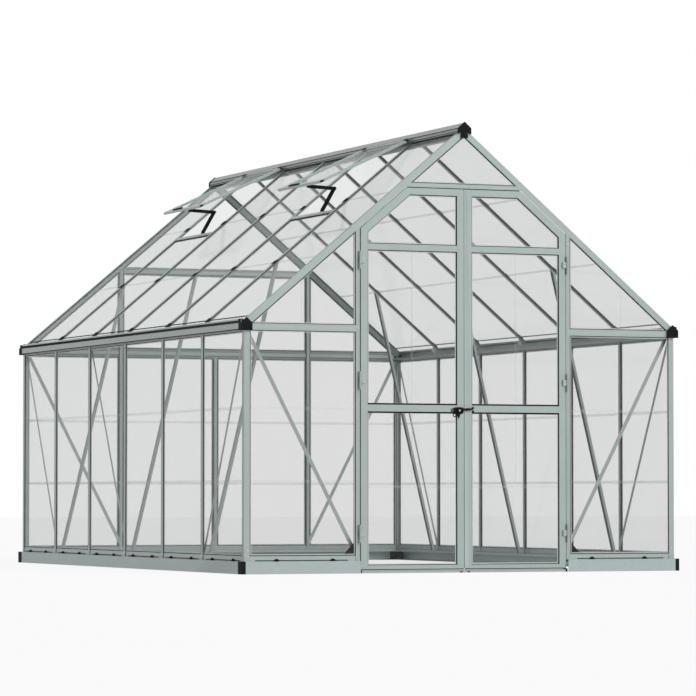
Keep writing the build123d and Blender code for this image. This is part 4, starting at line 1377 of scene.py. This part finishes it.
@dataclass
class DrawnBeadsAndShadowLines:
    """Drawn beads along the ridge cap, and black strips of painted shadow along the ridge and the gutters."""

    finishes: Finishes
    ridge_side: float = 0.034
    bead_levels: tuple[float, ...] = (2.3035,)
    ridge_shadow_levels: Pairs = ((2.3118, 2.3158), (2.2962, 2.2992), (2.2876, 2.2916))
    gutter_side: float = 1.246
    gutter_shadow_levels: Pairs = ((1.2765, 1.2900), (1.2422, 1.2468))
    half_run: float = 1.834
    line_gauge: float = 0.0009
    bead_radius: float = 0.0016
    sleeve: float = 0.030
    sleeve_end: float = 0.0015
    sleeve_face: tuple[float, float] = (1.2457, 1.2475)
    sleeve_levels: tuple[float, float] = (1.2404, 1.2985)
    sleeve_inner: float = 1.191
    sleeve_under: tuple[float, float] = (1.2398, 1.2418)

    def build(self) -> None:
        """Builds and dresses the beads, the painted shadow lines and the sleeves."""
        beads, lines = [], []
        for side in (-1, 1):
            beads += [self.bead(side * self.ridge_side, z, self.bead_radius) for z in self.bead_levels]
            lines += [self.line(side * self.ridge_side, z0, z1) for z0, z1 in self.ridge_shadow_levels]
            lines += [self.line(side * self.gutter_side, z0, z1) for z0, z1 in self.gutter_shadow_levels]
        dress(joined(beads, "drawn_beads"), self.finishes.lengthwise, Body.BUILDING)
        # Black strips of painted shadow along the ridge and under the gutters' roll and lip.
        dress(joined(lines, "painted_shadow_lines"), self.finishes.black, Body.BUILDING)
        dress(joined(self.sleeves(), "gutter_cap_sleeves"), self.finishes.black, Body.BUILDING)

    def sleeves(self) -> list[bpy.types.Object]:
        """A moulded sleeve of each end cap, wrapped over the end of its gutter."""
        inner, outer = self.sleeve_face
        made = []
        for side in (-1, 1):
            for end in (-1, 1):
                near, far = self.half_run - self.sleeve, self.half_run + self.sleeve_end
                y0, y1 = sorted((end * near, end * far))
                x0, x1 = sorted((side * inner, side * outer))
                z0, z1 = self.sleeve_levels
                bench = Bench("sleeve").block((x0, y0, z0), (x1, y1, z1))
                bench.pick(lambda centre, normal: normal.x * side > FACING).inset(0.004, -0.0005)
                made.append(bench.rounded(0.0005).laid())
                x0, x1 = sorted((side * self.sleeve_inner, side * outer))
                z0, z1 = self.sleeve_under
                bench = Bench("sleeve").block((x0, y0, z0), (x1, y1, z1))
                bench.pick(lambda centre, normal: normal.z < -FACING).inset(0.004, -0.0005)
                made.append(bench.rounded(0.0005).laid())
        return made

    def bead(self, x: float, z: float, radius: float) -> bpy.types.Object:
        """A thin round bead along the greenhouse.

        Args:
            x: How far out its middle is.
            z: Its height.
            radius: Its radius.

        Returns:
            The finished bead.
        """
        bench = Bench("bead").disc(radius, 2 * self.half_run, 10)
        bench.pick(lambda centre, normal: abs(normal.z) > FACING).inset(radius * 0.4, radius * 0.2)
        turned = Matrix.Rotation(math.radians(90), 4, "X")
        return bench.laid(Matrix.Translation((x, self.half_run, z)) @ turned)

    def line(self, x: float, z0: float, z1: float) -> bpy.types.Object:
        """A thin strip of painted shadow along the greenhouse, with a pressed face.

        Args:
            x: The outer face that it lies on.
            z0: Its lower edge.
            z1: Its upper edge.

        Returns:
            The finished strip.
        """
        x0, x1 = sorted((x, x + math.copysign(self.line_gauge, x)))
        bench = Bench("line").block((x0, -self.half_run, z0), (x1, self.half_run, z1))
        bench.pick(lambda centre, normal: abs(normal.x) > FACING).inset(0.0008, -0.0004)
        return bench.laid()


@dataclass
class VentFittings:
    """The grips, hinge ends, screws and stay side plates of the two roof vents."""

    finishes: Finishes
    middles: tuple[float, ...] = (0.915, -0.915)
    pivot: tuple[float, float] = (-0.037, 2.2993)
    angle: float = 25.0
    length: float = 0.572
    depth: float = 0.014
    grip_offset: float = 0.085
    grip_rise: float = 0.0135
    hinge_offset: float = 0.287
    hinge_drop: float = 0.010
    screw_offset: float = 0.29
    screw_drops: tuple[float, ...] = (0.2, 0.38, 0.559)
    sill_x: float = 0.472
    foot_rise: float = 0.0128
    elbow: tuple[float, float] = (0.074, 0.129)
    stay_offset: float = 0.088
    stay_half: float = 0.0045
    plate_half: float = 0.0092
    plate_gauge: float = 0.0022
    plate_start: float = 0.006
    plate_gap: float = 0.0004
    tip_rise: float = 0.022

    def place(self, y: float, down: float, out: float) -> Matrix:
        """A frame on a vent: X along the ridge, Y up the vent, Z outward.

        Args:
            y: The distance along the greenhouse.
            down: The distance down the vent from its hinge line.
            out: The distance out from the vent's inner face.

        Returns:
            The frame's matrix.
        """
        turn = math.radians(self.angle)
        up = Vector((math.cos(turn), 0.0, math.sin(turn)))
        outward = Vector((-math.sin(turn), 0.0, math.cos(turn)))
        origin = Vector((self.pivot[0], y, self.pivot[1])) - up * down + outward * out
        return frame_at(origin, up.cross(outward), up, outward)

    def build(self) -> None:
        """Builds and dresses the fittings of both vents."""
        black, bright = self.finishes.black, self.finishes.bright
        down = self.length - self.grip_rise
        grips = [self.place(y + self.grip_offset, down, self.depth) for y in self.middles]
        dress(copies(self.grip(), grips, "vent_grips"), black, Body.BUILDING)
        dress(joined(self.stay_plates(), "vent_stay_plates"), black, Body.BUILDING)
        ends, heads = [], []
        for y in self.middles:
            for side in (-1, 1):
                ends.append(self.place(y + side * self.hinge_offset, self.hinge_drop, self.depth))
                run = y + side * self.screw_offset
                heads += [self.place(run, down, self.depth) for down in self.screw_drops]
        dress(copies(self.hinge_end(), ends, "vent_hinge_ends"), black, Body.BUILDING)
        dress(copies(screw(0.0036), heads, "vent_screws"), bright, Body.BUILDING)

    def stay_plates(self) -> list[bpy.types.Object]:
        """Side plates that widen each stay's two arms, with a boss at its elbow."""
        turn = math.radians(HOUSE.pitch)
        foot = Vector((-self.sill_x, HOUSE.apex - self.sill_x * HOUSE.slope))
        foot += Vector((math.cos(turn), math.sin(turn))) * self.foot_rise
        elbow = foot + Vector(self.elbow)
        turn = math.radians(self.angle)
        up, outward = Vector((math.cos(turn), math.sin(turn))), Vector((-math.sin(turn), math.cos(turn)))
        tip = Vector(self.pivot) - up * (self.length - self.tip_rise)
        tip -= outward * (self.plate_half + self.plate_gap)
        made = []
        for y in self.middles:
            for side in (-1, 1):
                at = y - self.stay_offset - side * self.stay_half
                place = frame_at(Vector((0, at, 0)), Vector((1, 0, 0)), Vector((0, 0, 1)), Vector((0, -1, 0)))
                made += [self.stay_plate(a, b, side).laid(place) for a, b in ((foot, elbow), (elbow, tip))]
                boss = Bench("boss").disc(self.plate_half * 1.15, self.plate_gauge + 0.0012, 28)
                boss.rimmed(0.003, 0.0006).inset(0.002, -0.001)
                turned = Matrix.Rotation(math.radians(0 if side > 0 else 180), 4, "X")
                made.append(boss.rounded(0.0005).laid(place @ Matrix.Translation((*elbow, 0.0)) @ turned))
        return made

    def stay_plate(self, a: Vector, b: Vector, side: int) -> Bench:
        """One side plate, flat, along an arm of a stay.

        Args:
            a: The arm's start.
            b: The arm's end.
            side: 1 for the plate in front of the stay, -1 for the one behind.

        Returns:
            The plate's bench, before it is laid.
        """
        along = (b - a).normalized()
        across = Vector((-along.y, along.x)) * self.plate_half
        start = a + along * self.plate_start
        corners = (start - across, b - across, b + across, start + across)
        bench = Bench("plate").outline([tuple(corner) for corner in corners])
        bench.raised(side * self.plate_gauge)
        bench.pick(lambda centre, normal: abs(normal.z) > FACING and abs(centre.z) > self.plate_gauge / 2)
        return bench.inset(0.0025, -0.0006).rounded(0.0005)

    @staticmethod
    def grip() -> bpy.types.Object:
        """A low moulded grip with tapered ends."""
        bench = Bench("grip").block((-0.062, -0.007, 0.0), (0.062, 0.007, 0.007))
        bench.pick(lambda centre, normal: abs(normal.x) > FACING)
        bpy.ops.mesh.inset(thickness=0.003, depth=0.018, use_even_offset=True, use_individual=True)
        return bench.edited().outward().rounded(0.0016, 3).laid()

    @staticmethod
    def hinge_end() -> bpy.types.Object:
        """A moulded end over the vent's hinge bar."""
        bench = Bench("end").block((-0.018, -0.010, 0.0), (0.018, 0.009, 0.004))
        return bench.rimmed(0.003, 0.0012).rounded(0.001).laid()


@dataclass
class LatchTrim:
    """The padlock eyes, tail, hub cap and stops round the latch, and the hinge screws."""

    finishes: Finishes
    pivot: tuple[float, float] = (-0.034, 0.841)
    leaf_front: float = 0.0103
    lever_front: float = 0.0233
    arm_depth: float = 0.0075
    seat_gap: float = 0.0003
    eye_radius: float = 0.0085
    eye_wire: float = 0.0026
    eye_depth: float = 1.15
    eye_lift: float = 0.0035
    eyes: Pairs = ((-0.066, 0.842), (-0.058, 0.817))
    tail: Pairs = ((-0.047, 0.826), (-0.033, 0.799), (-0.024, 0.823), (-0.031, 0.826))
    neck: Pairs = ((-0.064, 0.850), (-0.064, 0.820), (-0.056, 0.822), (-0.056, 0.852))
    lever: Pairs = ((-0.031, 0.8305), (-0.0052, 0.8380), (-0.0052, 0.8535), (-0.044, 0.8535))
    keeper: Pairs = ((0.0052, 0.8390), (0.0435, 0.8455), (0.0435, 0.8535), (0.0052, 0.8535))
    stop_x: float = 0.0475
    stop_levels: tuple[float, ...] = (0.8555, 0.8375)
    hinge_x: float = 0.5735
    hinge_front: float = 0.018
    hinge_levels: tuple[float, ...] = (0.203, 0.992, 1.612)
    hinge_spread: float = 0.009

    def build(self) -> None:
        """Builds and dresses the latch's small parts."""
        black, bright = self.finishes.black, self.finishes.bright
        dress(joined(self.plate_parts(), "latch_eyes"), black, Body.DOOR_LEFT)
        hub = Bench("latch_hub_cap").disc(0.0046, 0.0013, 28).rimmed(0.0012, 0.0005).inset(0.0012, -0.0008)
        cap = hub.rounded(0.0005).laid(Wall.FRONT.place(*self.pivot, self.lever_front))
        dress(cap, bright, Body.LATCH)
        dress(self.arm(self.lever, "latch_arm"), black, Body.LATCH)
        dress(self.arm(self.keeper, "keeper_arm"), black, Body.DOOR_RIGHT)
        stops = [Wall.FRONT.place(self.stop_x, z, self.leaf_front - self.seat_gap) for z in self.stop_levels]
        dress(copies(self.stop(), stops, "keeper_stops"), black, Body.DOOR_RIGHT)
        levels = [z + lift for z in self.hinge_levels for lift in (-self.hinge_spread, self.hinge_spread)]
        for side, body in ((-1, Body.DOOR_LEFT), (1, Body.DOOR_RIGHT)):
            heads = [Wall.FRONT.place(side * self.hinge_x, z, self.hinge_front) for z in levels]
            name = f"{body.value}_hinge_screws"
            dress(copies(screw(0.0034, 0.0018), heads, name), bright, body)

    def plate_parts(self) -> list[bpy.types.Object]:
        """The two eyes, the tail and the neck that stand on the latch's plate."""
        made = []
        for x, z in self.eyes:
            eye = Bench("eye").ring(self.eye_radius, self.eye_wire).edited()
            bpy.ops.transform.resize(value=(1.0, 1.0, self.eye_depth))
            made.append(eye.laid(Wall.FRONT.place(x, z, self.leaf_front + self.eye_lift)))
        place = Wall.FRONT.place(0.0, 0.0, self.leaf_front)
        made.append(Bench("tail").outline(list(self.tail)).raised(0.0045).rounded(0.0009).laid(place))
        made.append(Bench("neck").outline(list(self.neck)).raised(0.0036).rounded(0.0008).laid(place))
        return made

    def arm(self, points: Pairs, name: str) -> bpy.types.Object:
        """A moulded cover over the front of the latch's arm or its keeper.

        Args:
            points: Its outline on the front wall.
            name: Its name.

        Returns:
            The finished cover.
        """
        bench = Bench(name).outline(list(points)).raised(self.arm_depth).rimmed(0.0014, 0.0005)
        place = Wall.FRONT.place(0.0, 0.0, self.lever_front - self.arm_depth + self.seat_gap)
        return bench.rounded(0.0008).laid(place)

    @staticmethod
    def stop() -> bpy.types.Object:
        """A small moulded stop with a dished face."""
        bench = Bench("stop").block((-0.0045, -0.0045, 0.0), (0.0045, 0.0045, 0.006))
        return bench.rimmed(0.0015, -0.0008).rounded(0.0008).laid()


@dataclass
class ThresholdEnds:
    """Black end blocks and the middle joint of the door threshold."""

    finishes: Finishes
    end_span: tuple[float, float] = (0.5815, 0.5916)
    end_front: float = 0.0155
    end_back: float = 0.027
    end_top: float = 0.0168
    joint_x: float = 0.021
    joint_half: float = 0.007
    joint_front: float = 0.0150
    joint_back: float = 0.0130
    joint_top: float = 0.0075

    def build(self) -> None:
        """Builds and dresses them."""
        wall = -HOUSE.half_length
        made = []
        for side in (-1, 1):
            x0, x1 = sorted(side * x for x in self.end_span)
            low, high = (x0, wall - self.end_front, 0.0), (x1, wall + self.end_back, self.end_top)
            made.append(self.faced(Bench("end").block(low, high), 0.002, -0.0008).rounded(0.0012).laid())
        for x in (-self.joint_x, self.joint_x):
            low = (x - self.joint_half, wall - self.joint_front, 0.0)
            high = (x + self.joint_half, wall - self.joint_back, self.joint_top)
            made.append(self.faced(Bench("foot").block(low, high), 0.0018, -0.0006).rounded(0.0006).laid())
        dress(joined(made, "threshold_ends"), self.finishes.black, Body.BUILDING)

    @staticmethod
    def faced(bench: Bench, width: float, depth: float) -> Bench:
        """Insets a block's front face."""
        return bench.pick(lambda centre, normal: normal.y < -FACING).inset(width, depth)


@dataclass(frozen=True)
class Studio:
    """The floor, the light and the camera."""

    camera_at: tuple[float, float, float] = (-8.0397, -19.4595, 0.4009)
    yaw: float = -22.7327
    tilt: float = 2.2665
    lens: float = 192.456
    floor_size: float = 90.0
    world_strength: float = 0.36
    key_strength: float = 1.62
    key_from: tuple[float, float, float] = (0.45, -0.80, 0.62)
    key_spread: float = 35.0
    sensor: float = 36.0
    far: float = 300.0
    floor_drop: float = 0.0005
    floor_white: float = 0.88

    def build(self) -> None:
        """Builds the studio."""
        bpy.context.scene.view_settings.view_transform = "Standard"
        self.camera()
        self.world()
        self.floor()
        self.key()

    def camera(self) -> None:
        """Adds the camera at the photograph's angle."""
        data = bpy.data.cameras.new("Camera")
        data.sensor_width = self.sensor
        data.lens = self.lens
        data.clip_end = self.far
        camera = bpy.data.objects.new("Camera", data)
        camera.location = self.camera_at
        camera.rotation_euler = (math.radians(90.0 + self.tilt), 0.0, math.radians(self.yaw))
        bpy.context.scene.collection.objects.link(camera)
        bpy.context.scene.camera = camera

    @staticmethod
    def seen(tree: bpy.types.NodeTree) -> bpy.types.NodeSocket:
        """Tells the rays that come from the camera, a reflection or a clear part.

        Args:
            tree: The node tree that the nodes go into.

        Returns:
            The socket that is 1 for those rays and 0 for the others.
        """
        path = tree.nodes.new("ShaderNodeLightPath")
        rays = [path.outputs[name] for name in ("Is Camera Ray", "Is Glossy Ray", "Is Transmission Ray")]
        total = rays[0]
        for ray in rays[1:]:
            most = tree.nodes.new("ShaderNodeMath")
            most.operation = "MAXIMUM"
            tree.links.new(total, most.inputs[0])
            tree.links.new(ray, most.inputs[1])
            total = most.outputs[0]
        return total

    def world(self) -> None:
        """A white background, and a plain soft light from all round."""
        world = bpy.data.worlds.new("Studio")
        world.use_nodes = True
        tree = world.node_tree
        tree.nodes.clear()
        light = tree.nodes.new("ShaderNodeBackground")
        light.inputs["Color"].default_value = (1.0, 1.0, 1.0, 1.0)
        light.inputs["Strength"].default_value = self.world_strength
        white = tree.nodes.new("ShaderNodeBackground")
        white.inputs["Color"].default_value = (1.0, 1.0, 1.0, 1.0)
        mix = tree.nodes.new("ShaderNodeMixShader")
        tree.links.new(self.seen(tree), mix.inputs["Fac"])
        tree.links.new(light.outputs[0], mix.inputs[1])
        tree.links.new(white.outputs[0], mix.inputs[2])
        out = tree.nodes.new("ShaderNodeOutputWorld")
        tree.links.new(mix.outputs[0], out.inputs["Surface"])
        bpy.context.scene.world = world

    def floor(self) -> None:
        """A plain pale floor that keeps the greenhouse's shadow."""
        bpy.ops.object.select_all(action="DESELECT")
        bpy.ops.mesh.primitive_plane_add(size=self.floor_size, location=(0, 0, -self.floor_drop))
        floor = bpy.context.active_object
        floor.name = "studio_floor"
        s = Shading("Floor")
        pale = s.node("BsdfDiffuse", Color=(0.93, 0.93, 0.93, 1.0))
        white = s.node("Emission", Color=(1.0, 1.0, 1.0, 1.0))
        mix = s.node("MixShader", Fac=s.math("MULTIPLY", self.seen(s.tree), self.floor_white))
        s.tree.links.new(pale.outputs[0], mix.inputs[1])
        s.tree.links.new(white.outputs[0], mix.inputs[2])
        floor.data.materials.append(s.finish(mix))
        floor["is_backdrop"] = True

    def key(self) -> None:
        """A broad soft light from the front right."""
        data = bpy.data.lights.new("Key", "SUN")
        data.energy = self.key_strength
        data.angle = math.radians(self.key_spread)
        key = bpy.data.objects.new("Key", data)
        key.rotation_euler = Vector(self.key_from).to_track_quat("Z", "Y").to_euler()
        bpy.context.scene.collection.objects.link(key)
        key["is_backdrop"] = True


def finish_nodes(f: Finishes) -> None:
    """Gives every node of the frame its material.

    Args:
        f: The finishes.
    """
    chosen = {
        f.upright: "corner_posts side_posts_left side_posts_right back_posts door_posts",
        f.across: "door_head front_gable_rails back_rails door_threshold",
        f.lengthwise: "wall_sills vent_sills vent_frames",
        f.sloping: "rafters_left rafters_right front_rakes back_rakes",
        f.gutter: "gutters",
        f.ridge: "ridge_beam",
        f.inner: "roof_struts",
        f.brace: "wall_straps",
        f.steel: "base_rails_side base_rail_back base_rails_front",
        f.leaf: "door_left_frame door_right_frame door_left_hinges door_right_hinges post_hinges",
        f.black: (
            "base_corner_caps base_corner_brackets gutter_end_caps ridge_end_caps vent_stays"
            " post_gussets latch_plate latch_lever latch_keeper"
        ),
        f.pane: "front_panes back_panes door_left_panes door_right_panes side_panes_right",
        f.side_pane: "side_panes_left",
        f.roof_pane: "roof_panes_left roof_panes_right vent_panes",
    }
    for finish, names in chosen.items():
        for name in names.split():
            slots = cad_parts[name].material_slots
            for slot in slots:
                slot.material = finish
            if not slots:
                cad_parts[name].data.materials.append(finish)
            LOG.info("%s: %s", name, finish.name)


def corners() -> list[list[float]]:
    """The lowest and highest corner of what is shown."""
    return [list(corner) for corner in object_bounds()]


def main() -> None:
    """Builds the scene in order."""
    logging.basicConfig(level=logging.INFO, format="%(name)s %(message)s")
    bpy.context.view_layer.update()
    finishes = Finishes.build()
    finish_nodes(finishes)
    for assembly in (
        WallGlazing(finishes),
        RoofGlazing(finishes),
        LedgeClips(finishes),
        Fastenings(finishes),
        BraceBolts(finishes),
        EdgeShadowStrips(finishes),
        DrawnBeadsAndShadowLines(finishes),
        VentFittings(finishes),
        DoorTrim(finishes),
        LatchTrim(finishes),
        ThresholdEnds(finishes),
        Studio(),
    ):
        assembly.build()


if __name__ == "__main__":
    main()
